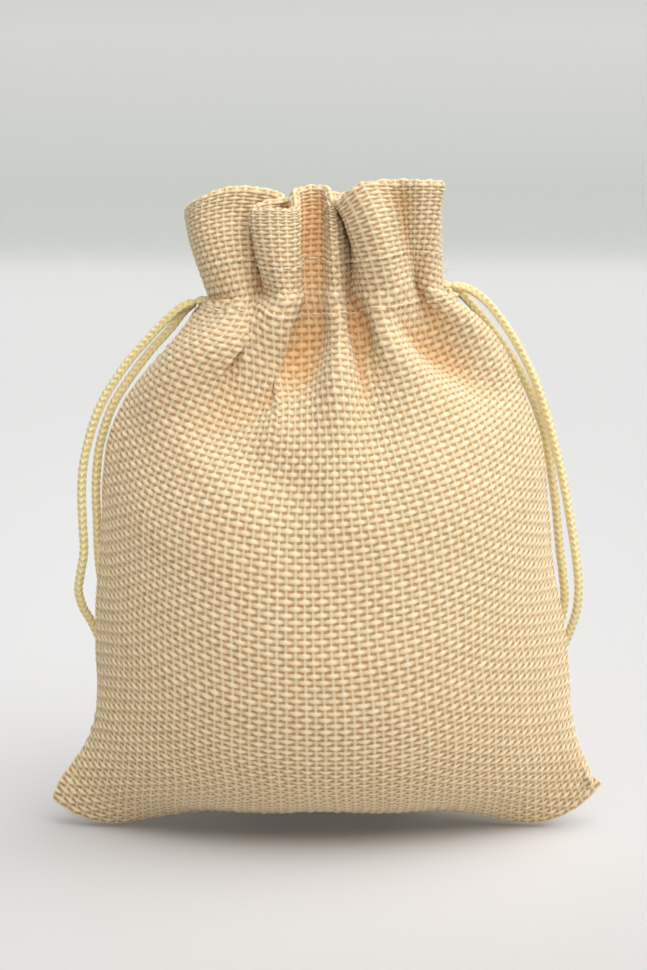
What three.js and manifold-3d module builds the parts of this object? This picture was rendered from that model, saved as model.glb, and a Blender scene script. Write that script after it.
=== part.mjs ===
// Drawstring gift pouch, filled and drawn shut, standing on its base.
// Millimetres, +Z up, front towards -Y, origin at the middle of the flat underside.
import * as THREE from 'three';
import { mergeVertices } from 'three/addons/utils/BufferGeometryUtils.js';
import Module from 'manifold-3d';

const wasm = await Module();
wasm.setup();

// ---- Driving dimensions -------------------------------------------------------------
const CLOTH = 1.2; // wall of each cloth piece, doubled hem included
const SEAM_GAP = 0.3; // clearance between touching pieces
const CORD_DIAMETER = 1.6;
const THREAD_DIAMETER = 0.6;
const CORD_SIDES = 8;
const THREAD_SIDES = 6;

// Levels of the filled body, from the bottom seam to the neck. z and depth are those of
// the crown of each panel, edge is the height of the side seam, and left and right are
// its distances from the middle.
const LEVELS = [
  { z: 0, depth: 0.2, edge: 4.0, left: 49.0, right: 49.5 },
  { z: 0, depth: 12.0, edge: 6.5, left: 49.4, right: 50.1 },
  { z: 5.5, depth: 17.5, edge: 10.5, left: 47.4, right: 49.0 },
  { z: 16, depth: 22.0, edge: 18.0, left: 42.4, right: 46.4 },
  { z: 30, depth: 24.0, edge: 30.0, left: 41.2, right: 44.6 },
  { z: 45, depth: 24.0, edge: 44.0, left: 40.8, right: 42.6 },
  { z: 60, depth: 22.5, edge: 58.0, left: 39.8, right: 40.4 },
  { z: 74, depth: 19.0, edge: 72.0, left: 38.0, right: 38.4 },
  { z: 86, depth: 14.5, edge: 85.0, left: 31.2, right: 33.6 },
  { z: 94, depth: 12.2, edge: 94.0, left: 22.2, right: 23.2 },
];
const FLAT_SHARE = 0.62; // share of the width over which the underside stays level
const FULLNESS = [2.2, 0.85]; // powers that shape the filled body, seen from above
const BODY_STEPS = { across: 22, up: 18 };

// The casing is the doubled band that the cords run in.
const CASING = { low: 94.4, high: 103.4, thickness: 4.6 };
const NECK = { halfWidth: 19, halfDepth: 8 }; // middle line of the casing, in plan
const SLIT_ANGLE = THREE.MathUtils.degToRad(22); // half of the slit at each end
const TUNNEL = { low: 96.1, high: 101.6, width: 3.0 };
const CURVE_STEPS = 24;

// The heading is the gathered frill above the casing.
const HEADING = { low: 103.8, high: 118.4, pleats: 5, pleatDepth: 1.6, flare: 4.2 };
const HEADING_SLIT_ANGLE = THREE.MathUtils.degToRad(14);
const HEADING_STEPS = { across: 44, up: 5 };

const STITCH = { low: 95.3, high: 102.6, clearance: 0.35 };
const SEAM_INSET = 3.2; // from the edge of a panel to its seam thread

// The cords. Each runs through both casings and comes back out of its own slit, so it
// ends in two strands, knotted together. Routes are hand-laid, exit first.
const LEFT_CORD_Z = 97.4;
const RIGHT_CORD_Z = 100.2;
const STRAND_OFFSET = 0.95; // half the distance between two strands in a slit
const EXIT_X = 22.0;
const ROUTES = {
  left_front_strand: [
    [-22.6, -0.95, 97.4], [-25.2, -1.0, 96.4], [-27.9, -0.9, 94.2], [-31.5, -0.6, 90.5],
    [-34.7, -0.3, 86.9], [-37.3, 0.0, 83.3], [-39.6, 0.3, 79.6], [-41.2, 0.5, 76.0],
    [-42.4, 0.6, 72.2], [-43.3, 0.6, 68.4], [-43.8, 0.6, 63.2], [-43.7, 0.6, 56.4],
    [-43.6, 0.8, 51.6], [-44.3, 1.4, 47.8], [-44.9, 2.6, 44.2], [-44.4, 4.2, 40.9],
    [-43.0, 6.0, 37.6], [-41.4, 7.6, 33.2], [-40.2, 9.2, 28.0], [-39.3, 10.8, 22.0],
    [-38.7, 12.6, 16.0], [-38.2, 14.8, 10.4], [-37.3, 17.4, 6.0], [-35.5, 20.6, 3.0],
    [-32.9, 23.8, 1.6], [-30.0, 26.6, 1.4],
  ],
  left_back_strand: [
    [-22.6, 0.95, 97.4], [-24.8, 1.0, 95.6], [-27.2, 1.0, 92.6], [-30.5, 1.1, 89.0],
    [-33.4, 1.3, 85.4], [-35.9, 1.6, 81.9], [-38.0, 1.9, 78.5], [-39.5, 2.3, 74.8],
    [-40.6, 2.7, 71.0], [-41.2, 3.0, 67.0], [-41.5, 3.3, 62.4], [-41.4, 3.8, 56.8],
    [-41.4, 4.6, 51.6], [-41.2, 5.9, 46.8], [-40.5, 7.6, 42.0], [-39.3, 9.4, 36.8],
    [-38.1, 11.0, 31.0], [-37.2, 12.4, 25.0], [-36.4, 13.8, 19.0], [-35.7, 15.6, 12.8],
    [-34.8, 17.8, 7.6], [-33.3, 20.2, 4.0], [-31.2, 22.6, 2.0], [-29.0, 24.6, 1.4],
  ],
  right_front_strand: [
    [22.6, -0.95, 100.2], [25.6, -1.0, 99.7], [28.9, -0.9, 97.6], [31.9, -0.7, 94.1],
    [34.4, -0.4, 90.4], [36.5, -0.1, 86.6], [38.3, 0.2, 82.8], [39.7, 0.5, 79.0],
    [40.9, 0.6, 75.2], [41.9, 0.7, 71.6], [43.1, 0.7, 67.0], [44.1, 0.7, 62.4],
    [45.0, 0.7, 57.6], [45.8, 0.8, 53.0], [46.5, 1.1, 48.4], [46.9, 1.8, 44.0],
    [46.6, 3.0, 39.8], [45.6, 4.5, 35.8], [44.2, 6.3, 31.4], [42.9, 8.2, 26.4],
    [41.9, 10.1, 20.6], [41.1, 12.2, 14.6], [40.2, 14.8, 9.4], [38.8, 18.0, 5.2],
    [36.5, 21.3, 2.6], [33.8, 24.2, 1.5], [31.2, 26.4, 1.4],
  ],
  right_back_strand: [
    [22.6, 0.95, 100.2], [25.1, 1.0, 98.3], [28.0, 1.0, 95.2], [30.9, 1.1, 91.6],
    [33.5, 1.3, 88.0], [35.7, 1.6, 84.3], [37.6, 1.9, 80.6], [39.0, 2.2, 77.0],
    [40.2, 2.5, 73.2], [41.1, 2.8, 69.2], [41.9, 3.1, 64.6], [42.6, 3.4, 60.0],
    [43.1, 3.8, 55.6], [43.6, 4.3, 51.2], [44.3, 5.0, 46.6], [44.8, 6.0, 42.0],
    [44.3, 7.4, 37.4], [42.9, 9.0, 32.2], [41.4, 10.6, 26.6], [40.1, 12.2, 20.6],
    [39.1, 13.8, 14.6], [38.0, 15.8, 9.2], [36.4, 18.2, 5.0], [34.2, 20.8, 2.5],
    [31.9, 22.8, 1.5], [30.2, 24.0, 1.4],
  ],
  left_front_tail: [[-24.3, 28.0, 1.9], [-21.7, 29.2, 1.1], [-18.1, 29.8, 1.0], [-14.5, 29.2, 1.0]],
  left_back_tail: [[-24.2, 25.4, 1.9], [-21.5, 25.2, 1.1], [-17.8, 25.6, 1.0], [-14.6, 24.8, 1.0]],
  right_front_tail: [[25.9, 27.4, 1.9], [23.4, 28.6, 1.1], [19.8, 29.2, 1.0], [16.4, 28.8, 1.0]],
  right_back_tail: [[25.8, 24.8, 1.9], [23.2, 24.6, 1.1], [19.6, 25.0, 1.0], [16.9, 24.2, 1.0]],
};
const KNOTS = { left_knot: [-26.9, 26.2, 2.7], right_knot: [28.4, 25.8, 2.7] };
const KNOT_RADIUS = 2.4;
const CORD_STEP = 2.6 * CORD_DIAMETER;

// ---- Materials ----------------------------------------------------------------------
const FINISHES = {
  cloth: { color: 0xe9d9b4, roughness: 0.9, metalness: 0 },
  thread: { color: 0xe6dcc3, roughness: 0.7, metalness: 0 },
  cord: { color: 0xe8dca0, roughness: 0.6, metalness: 0 },
};

const pouch = new THREE.Group();

function place(name, finish, geometry) {
  const mesh = new THREE.Mesh(geometry, new THREE.MeshStandardMaterial(FINISHES[finish]));
  mesh.name = name;
  pouch.add(mesh);
}

// ---- Shape helpers ------------------------------------------------------------------
const smooth = (x, low, high) => THREE.MathUtils.smoothstep(x, low, high);
const lerp = THREE.MathUtils.lerp;

// A cloth piece: the surface(u, v) is its outer face, and the inner face lies one wall
// behind it along the normal. u and v both run from 0 to 1, u x v points outwards, and
// limit moves each inner point clear of the seam plane.
function clothPiece(surface, steps, limit = (p) => p) {
  const nudge = 1e-3;
  const slope = (a, b) => surface(...b).sub(surface(...a));
  const inner = (u, v) => {
    const along = slope([Math.max(u - nudge, 0), v], [Math.min(u + nudge, 1), v]);
    const up = slope([u, Math.max(v - nudge, 0)], [u, Math.min(v + nudge, 1)]);
    const normal = along.cross(up).normalize();
    return limit(surface(u, v).addScaledVector(normal, -CLOTH));
  };
  const positions = [];
  for (const face of [surface, inner]) {
    for (let j = 0; j <= steps.up; j++) {
      for (let i = 0; i <= steps.across; i++) {
        positions.push(...face(i / steps.across, j / steps.up).toArray());
      }
    }
  }
  const row = steps.across + 1;
  const layer = row * (steps.up + 1);
  const at = (i, j, side) => side * layer + j * row + i;
  const index = [];
  const quad = (a, b, c, d) => index.push(a, b, c, a, c, d);
  for (let j = 0; j < steps.up; j++) {
    for (let i = 0; i < steps.across; i++) {
      quad(at(i, j, 0), at(i + 1, j, 0), at(i + 1, j + 1, 0), at(i, j + 1, 0));
      quad(at(i, j, 1), at(i, j + 1, 1), at(i + 1, j + 1, 1), at(i + 1, j, 1));
    }
    quad(at(0, j, 0), at(0, j + 1, 0), at(0, j + 1, 1), at(0, j, 1));
    quad(at(steps.across, j, 0), at(steps.across, j, 1),
      at(steps.across, j + 1, 1), at(steps.across, j + 1, 0));
  }
  for (let i = 0; i < steps.across; i++) {
    quad(at(i, 0, 0), at(i, 0, 1), at(i + 1, 0, 1), at(i + 1, 0, 0));
    quad(at(i, steps.up, 0), at(i + 1, steps.up, 0),
      at(i + 1, steps.up, 1), at(i, steps.up, 1));
  }
  const geometry = new THREE.BufferGeometry();
  geometry.setAttribute('position', new THREE.Float32BufferAttribute(positions, 3));
  geometry.setIndex(index);
  return geometry;
}

// A round tube along a curve, with flat ends.
function tube(curve, diameter, sides, steps) {
  const section = new THREE.Shape(
    new THREE.EllipseCurve(0, 0, diameter / 2, diameter / 2, 0, 2 * Math.PI).getPoints(sides),
  );
  return new THREE.ExtrudeGeometry(section, { steps, extrudePath: curve });
}

function cordAlong(points) {
  const curve = new THREE.CatmullRomCurve3(points.map((p) => new THREE.Vector3(...p)));
  const steps = Math.max(3, Math.round(curve.getLength() / CORD_STEP));
  return tube(curve, CORD_DIAMETER, CORD_SIDES, steps);
}

function threadAlong(points) {
  const curve = new THREE.CatmullRomCurve3(points);
  return tube(curve, THREAD_DIAMETER, THREAD_SIDES, CURVE_STEPS);
}

function toManifold(geometry) {
  const bare = geometry.clone();
  bare.deleteAttribute('normal');
  bare.deleteAttribute('uv');
  const merged = mergeVertices(bare, 1e-4);
  const vertProperties = new Float32Array(merged.attributes.position.array);
  const triVerts = new Uint32Array(merged.index.array);
  return new wasm.Manifold(new wasm.Mesh({ numProp: 3, vertProperties, triVerts }));
}

function toGeometry(solid) {
  const mesh = solid.getMesh();
  const geometry = new THREE.BufferGeometry();
  geometry.setAttribute('position', new THREE.BufferAttribute(mesh.vertProperties, 3));
  geometry.setIndex(new THREE.BufferAttribute(mesh.triVerts, 1));
  return geometry;
}

// ---- Body of the pouch --------------------------------------------------------------
const KEYS = Object.keys(LEVELS[0]);
const levelCurve = new THREE.CubicInterpolant(
  LEVELS.map((_, i) => i / (LEVELS.length - 1)),
  LEVELS.flatMap((level) => Object.values(level)),
  KEYS.length,
);

function levelAt(v) {
  const values = levelCurve.evaluate(v);
  return Object.fromEntries(KEYS.map((key, i) => [key, values[i]]));
}

// The outer face of a panel: across (-1 to 1) from the left edge to the right one,
// v from the bottom seam to the neck.
function panelPoint(across, v) {
  const level = levelAt(v);
  const halfWidth = across < 0 ? level.left : level.right;
  const crown = (1 - Math.abs(across) ** FULLNESS[0]) ** FULLNESS[1];
  const toEdge = smooth(Math.abs(across), FLAT_SHARE, 1);
  return {
    x: across * halfWidth,
    depth: SEAM_GAP / 2 + Math.max(level.depth - SEAM_GAP / 2, 0) * crown,
    z: lerp(Math.max(level.z, 0), level.edge, toEdge),
  };
}

// Steps are closer together near the side seams, where the panel curves most.
const spread = (u) => Math.sin((u - 0.5) * Math.PI);

// facing is -1 on the front piece and 1 on the back one.
function panel(facing) {
  const surface = (u, v) => {
    const point = panelPoint(-facing * spread(u), v);
    return new THREE.Vector3(point.x, facing * point.depth, point.z);
  };
  const keepOnItsSide = (p) => {
    p.y = facing * Math.max(facing * p.y, SEAM_GAP / 2);
    return p;
  };
  return clothPiece(surface, BODY_STEPS, keepOnItsSide);
}

// ---- Neck, in plan ------------------------------------------------------------------
// A point on the front half of the neck, grown outwards by grow, at angle turned from
// the left slit (0) to the right slit (pi).
function neckPoint(angle, grow, z, facing) {
  const x = -(NECK.halfWidth + grow) * Math.cos(angle);
  const y = facing * (NECK.halfDepth + grow) * Math.sin(angle);
  return new THREE.Vector3(x, y, z);
}

// A curved bar that follows the front of the neck between two angles.
function neckBar(width, low, high, slit) {
  const { halfWidth: a, halfDepth: b } = NECK;
  const [start, end] = [Math.PI + slit, 2 * Math.PI - slit];
  const half = width / 2;
  const shape = new THREE.Shape();
  shape.absellipse(0, 0, a + half, b + half, start, end, false, 0);
  shape.absellipse(0, 0, a - half, b - half, end, start, true, 0);
  shape.closePath();
  const options = { depth: high - low, bevelEnabled: false, curveSegments: CURVE_STEPS };
  return new THREE.ExtrudeGeometry(shape, options).translate(0, 0, low);
}

function casing(facing) {
  const outside = neckBar(CASING.thickness, CASING.low, CASING.high, SLIT_ANGLE);
  const inside = neckBar(TUNNEL.width, TUNNEL.low, TUNNEL.high, SLIT_ANGLE / 2);
  const band = toGeometry(toManifold(outside).subtract(toManifold(inside)));
  return facing < 0 ? band : band.rotateZ(Math.PI);
}

function heading(facing) {
  const surface = (u, v) => {
    const turn = facing < 0 ? u : 1 - u;
    const angle = lerp(HEADING_SLIT_ANGLE, Math.PI - HEADING_SLIT_ANGLE, turn);
    const wave = Math.cos(2 * Math.PI * HEADING.pleats * turn);
    const grow = HEADING.flare * v + HEADING.pleatDepth * wave;
    return neckPoint(angle, grow, lerp(HEADING.low, HEADING.high, v), facing);
  };
  return clothPiece(surface, HEADING_STEPS);
}

// ---- Threads ------------------------------------------------------------------------
function stitchRow(facing, z) {
  const grow = CASING.thickness / 2 + STITCH.clearance + THREAD_DIAMETER / 2;
  const points = [];
  for (let i = 0; i <= CURVE_STEPS; i++) {
    const angle = lerp(SLIT_ANGLE, Math.PI - SLIT_ANGLE, i / CURVE_STEPS);
    points.push(neckPoint(angle, grow, z, facing));
  }
  return threadAlong(points);
}

// The side seam threads lie inside the pouch, along the folded-in edges.
function sideSeam(side) {
  const [first, last] = [0.3, 0.97];
  const points = [];
  for (let i = 0; i <= CURVE_STEPS; i++) {
    const level = levelAt(lerp(first, last, i / CURVE_STEPS));
    const edge = side < 0 ? level.left : level.right;
    points.push(new THREE.Vector3(side * (edge - SEAM_INSET), 0, level.edge));
  }
  return threadAlong(points);
}

function bottomSeam() {
  const reach = LEVELS[0].left * FLAT_SHARE;
  const height = CLOTH + SEAM_GAP + THREAD_DIAMETER / 2;
  const ends = [-reach, 0, reach].map((x) => new THREE.Vector3(x, 0, height));
  return threadAlong(ends);
}

// ---- Cords --------------------------------------------------------------------------
// The part of a cord that is hidden in the casings: in at the front of its own slit,
// round the far side of the neck, and out at the back of the same slit.
function cordRun(side, z) {
  const turns = 30;
  const loop = [];
  for (let i = 0; i <= turns; i++) {
    const angle = lerp(SLIT_ANGLE, 2 * Math.PI - SLIT_ANGLE, i / turns);
    const x = side * NECK.halfWidth * Math.cos(angle);
    loop.push([x, -NECK.halfDepth * Math.sin(angle), z]);
  }
  const mouth = (y) => [[side * EXIT_X, y, z], [side * (EXIT_X - 2), y * 1.3, z]];
  const entry = mouth(-STRAND_OFFSET);
  const exit = mouth(STRAND_OFFSET).reverse();
  return cordAlong([...entry, ...loop, ...exit]);
}

function knot([x, y, z]) {
  return new THREE.SphereGeometry(KNOT_RADIUS, 12, 8).translate(x, y, z);
}

// ---- Assembly -----------------------------------------------------------------------
for (const [side, facing] of [['front', -1], ['back', 1]]) {
  place(`${side}_panel`, 'cloth', panel(facing));
  place(`${side}_casing`, 'cloth', casing(facing));
  place(`${side}_heading`, 'cloth', heading(facing));
  place(`${side}_lower_stitch`, 'thread', stitchRow(facing, STITCH.low));
  place(`${side}_upper_stitch`, 'thread', stitchRow(facing, STITCH.high));
}
place('left_seam_thread', 'thread', sideSeam(-1));
place('right_seam_thread', 'thread', sideSeam(1));
place('bottom_seam_thread', 'thread', bottomSeam());
place('left_cord_run', 'cord', cordRun(-1, LEFT_CORD_Z));
place('right_cord_run', 'cord', cordRun(1, RIGHT_CORD_Z));
for (const [name, points] of Object.entries(ROUTES)) {
  place(name, 'cord', cordAlong(points));
}
for (const [name, centre] of Object.entries(KNOTS)) {
  place(name, 'cord', knot(centre));
}

export default pouch;
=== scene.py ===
# %% [markdown]
# # A drawstring gift pouch, filled and drawn shut
#
# The pouch is two panels of open, burlap-like cloth sewn together. A doubled band near the top
# holds two cords, which gather the neck, and the cloth above the cords stands up as a frill.
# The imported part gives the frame: its bodies move, and its soft solids are stand-ins. This
# lesson makes what is seen. Loading comes first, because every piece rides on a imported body.

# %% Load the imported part
import math

import bpy
import numpy as np
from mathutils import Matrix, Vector


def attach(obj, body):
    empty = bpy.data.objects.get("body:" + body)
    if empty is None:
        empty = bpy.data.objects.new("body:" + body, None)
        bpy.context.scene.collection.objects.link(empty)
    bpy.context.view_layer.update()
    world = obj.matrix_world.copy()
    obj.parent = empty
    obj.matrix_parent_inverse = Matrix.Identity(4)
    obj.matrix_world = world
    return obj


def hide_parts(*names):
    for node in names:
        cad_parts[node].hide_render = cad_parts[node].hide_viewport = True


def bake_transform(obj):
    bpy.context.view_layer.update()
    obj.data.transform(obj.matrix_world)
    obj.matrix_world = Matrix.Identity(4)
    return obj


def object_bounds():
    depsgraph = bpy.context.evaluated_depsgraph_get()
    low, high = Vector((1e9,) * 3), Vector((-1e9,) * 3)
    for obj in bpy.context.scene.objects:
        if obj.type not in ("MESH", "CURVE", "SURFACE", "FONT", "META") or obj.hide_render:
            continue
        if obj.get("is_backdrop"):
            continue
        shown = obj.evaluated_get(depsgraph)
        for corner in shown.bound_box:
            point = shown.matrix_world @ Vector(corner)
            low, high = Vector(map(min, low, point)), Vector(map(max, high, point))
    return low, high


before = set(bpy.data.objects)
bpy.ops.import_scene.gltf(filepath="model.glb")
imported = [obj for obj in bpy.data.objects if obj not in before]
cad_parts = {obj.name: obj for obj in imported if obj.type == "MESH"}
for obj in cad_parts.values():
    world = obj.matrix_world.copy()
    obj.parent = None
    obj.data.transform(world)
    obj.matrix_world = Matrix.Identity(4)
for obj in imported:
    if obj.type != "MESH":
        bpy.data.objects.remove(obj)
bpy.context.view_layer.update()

MM = 0.001

# %% [markdown]
# ## The camera
#
# The camera looks at the front from a little above, with a moderately long lens, so the pouch
# keeps the proportions that the eye sees. It is made first.

# %% Camera
LENS = 50.0
SENSOR_LONG_SIDE = 22.3
CAMERA_PITCH = math.radians(8.5)
CAMERA_DISTANCE = 0.394
CAMERA_TARGET = Vector((0.0001, 0.0, 0.0641))

camera_data = bpy.data.cameras.new("camera")
camera_data.lens = LENS
camera_data.sensor_width = SENSOR_LONG_SIDE
camera = bpy.data.objects.new("camera", camera_data)
bpy.context.scene.collection.objects.link(camera)
away = Vector((0.0, -math.cos(CAMERA_PITCH), math.sin(CAMERA_PITCH)))
camera.location = CAMERA_TARGET + away * CAMERA_DISTANCE
camera.rotation_euler = (-away).to_track_quat("-Z", "Y").to_euler()
bpy.context.scene.camera = camera
bpy.context.scene.view_settings.view_transform = "Standard"
print("camera stands at", [round(x, 3) for x in camera.location])

# %% [markdown]
# ## From a grid of points to a mesh
#
# Every new piece here is a grid: points in rows and columns, worked out as whole arrays. One
# helper turns such a grid into a mesh. It can join the last column to the first, as round a
# tube, and close the two ends with fans, so nothing is left open. Each face corner also gets
# a place in the piece's own UV map, which the weave and the knit follow.

# %% Grid helper
def grid_corners(pieces, rows, columns, around, closed_ends):
    """Vertex numbers of every face, and how many corners each has.

    A quad joins a point to its neighbours along its row and in the next row. An end fan joins
    each side of an end ring to a pole in its middle.
    """
    across = columns if around else columns - 1
    piece, row, column = np.meshgrid(
        np.arange(pieces), np.arange(rows - 1), np.arange(across), indexing="ij"
    )
    first = piece * rows * columns
    step = (column + 1) % columns
    quads = np.stack(
        [
            first + row * columns + column,
            first + row * columns + step,
            first + (row + 1) * columns + step,
            first + (row + 1) * columns + column,
        ],
        axis=-1,
    ).reshape(-1, 4)
    corner_rows = np.stack([row, row, row + 1, row + 1], axis=-1).reshape(-1)
    corner_columns = np.stack([column, column + 1, column + 1, column], axis=-1).reshape(-1)
    counts = np.full(len(quads), 4)
    corners = quads.reshape(-1)
    if closed_ends:
        piece, column = np.meshgrid(np.arange(pieces), np.arange(across), indexing="ij")
        step = (column + 1) % columns
        start = piece * rows * columns
        finish = start + (rows - 1) * columns
        pole = pieces * rows * columns + 2 * piece
        low = np.stack([pole, start + step, start + column], axis=-1).reshape(-1)
        high = np.stack([pole + 1, finish + column, finish + step], axis=-1).reshape(-1)
        corners = np.concatenate([corners, low, high])
        counts = np.concatenate([counts, np.full(2 * pieces * across, 3)])
        fan = np.stack([column, column + 1, column], axis=-1).reshape(-1)
        corner_columns = np.concatenate([corner_columns, fan, fan])
        corner_rows = np.concatenate([corner_rows, 0 * fan, 0 * fan + rows - 1])
    return corners, counts, corner_rows, corner_columns


def grid_mesh(name, points, around=False, closed_ends=False, across=None, along=None):
    """Makes a smooth object from points in mm, shaped (rows, columns, 3) or with many such
    grids stacked in front. across and along give the UV of each column and row."""
    stacked = points.reshape(-1, *points.shape[-3:])
    pieces, rows, columns, _ = stacked.shape
    corners, counts, corner_rows, corner_columns = grid_corners(
        pieces, rows, columns, around, closed_ends
    )
    places = stacked.reshape(-1, 3)
    if closed_ends:
        poles = stacked[:, [0, -1]].mean(axis=2).reshape(-1, 3)
        places = np.concatenate([places, poles])
    mesh = bpy.data.meshes.new(name)
    mesh.vertices.add(len(places))
    mesh.vertices.foreach_set("co", (places * MM).astype(np.float32).ravel())
    mesh.loops.add(len(corners))
    mesh.loops.foreach_set("vertex_index", corners.astype(np.int32))
    mesh.polygons.add(len(counts))
    starts = np.concatenate([[0], np.cumsum(counts)[:-1]])
    mesh.polygons.foreach_set("loop_start", starts.astype(np.int32))
    mesh.polygons.foreach_set("use_smooth", np.ones(len(counts), dtype=bool))
    if across is not None:
        layer = mesh.uv_layers.new(name="pattern")
        uv = np.stack([across[corner_columns], along[corner_rows]], axis=-1)
        layer.uv.foreach_set("vector", uv.astype(np.float32).ravel())
    mesh.update(calc_edges=True)
    mesh.validate()
    made = bpy.data.objects.new(name, mesh)
    bpy.context.scene.collection.objects.link(made)
    triangles = int((counts - 2).sum())
    print(f"{name}: {len(places)} points, {triangles} triangles")
    return made


# %% [markdown]
# ## Smooth lines
#
# A cord is laid through a few given points. The curve between them is a cubic that leaves
# each point in the direction of its neighbours, so it has no corners. It is then cut into
# equal steps, and a ring of points round each step makes a tube.

# %% Line and tube helpers
FINE_CUTS = 40


def unit(vectors):
    """Each vector divided by its length."""
    return vectors / np.maximum(np.linalg.norm(vectors, axis=-1, keepdims=True), 1e-9)


def hermite(places, values, wanted):
    """Cubic through values at places, read at wanted.

    The slope at each place is the mean of the slopes on its two sides. Between two places the
    value is the usual Hermite blend of both values and both slopes.
    """
    slopes = np.gradient(values, places, axis=0)
    k = np.clip(np.searchsorted(places, wanted, side="right") - 1, 0, len(places) - 2)
    span = (places[k + 1] - places[k])[:, None]
    t = (wanted - places[k])[:, None] / span
    return (
        (2 * t**3 - 3 * t**2 + 1) * values[k]
        + (t**3 - 2 * t**2 + t) * span * slopes[k]
        + (3 * t**2 - 2 * t**3) * values[k + 1]
        + (t**3 - t**2) * span * slopes[k + 1]
    )


def travelled(points):
    """How far along a line each point is: the running sum of the steps before it."""
    return np.concatenate([[0], np.cumsum(np.linalg.norm(np.diff(points, axis=0), axis=1))])


def smooth_line(points, step):
    """Points every step mm along the smooth curve through the given points."""
    points = np.array(points, dtype=float)
    chords = travelled(points)
    dense = hermite(chords, points, np.linspace(0, chords[-1], FINE_CUTS * len(points)))
    run = travelled(dense)
    at = np.linspace(0, run[-1], max(4, int(round(run[-1] / step)) + 1))
    line = np.stack([np.interp(at, run, dense[:, k]) for k in range(3)], axis=-1)
    return line, at


def tube(name, centre, out, side, angle, radius, turns, along):
    """Closed tubes round lines of centres, as one object.

    A ring point is its centre plus radius * (out * cos angle + side * sin angle). In the UV
    map, a turn round the tube counts up to turns, and its length follows along.
    """
    cosine, sine = np.cos(angle)[:, None], np.sin(angle)[:, None]
    ring = out[..., None, :] * cosine + side[..., None, :] * sine
    points = centre[..., None, :] + radius * ring
    across = np.arange(len(angle) + 1) * turns / len(angle)
    return grid_mesh(name, points, True, True, across, along)


# %% [markdown]
# ## Two cords
#
# On the real pouch the cords are thin knitted tubes, soft and pale yellow. Each leaves its own
# slit at the side of the neck as two strands, which hang down beside the body, lie on the
# table behind it and end in one knot with two short tails. The knit is made as shape: the
# radius swells and shrinks in columns round the cord and in V-shaped stitches along it.

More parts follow.
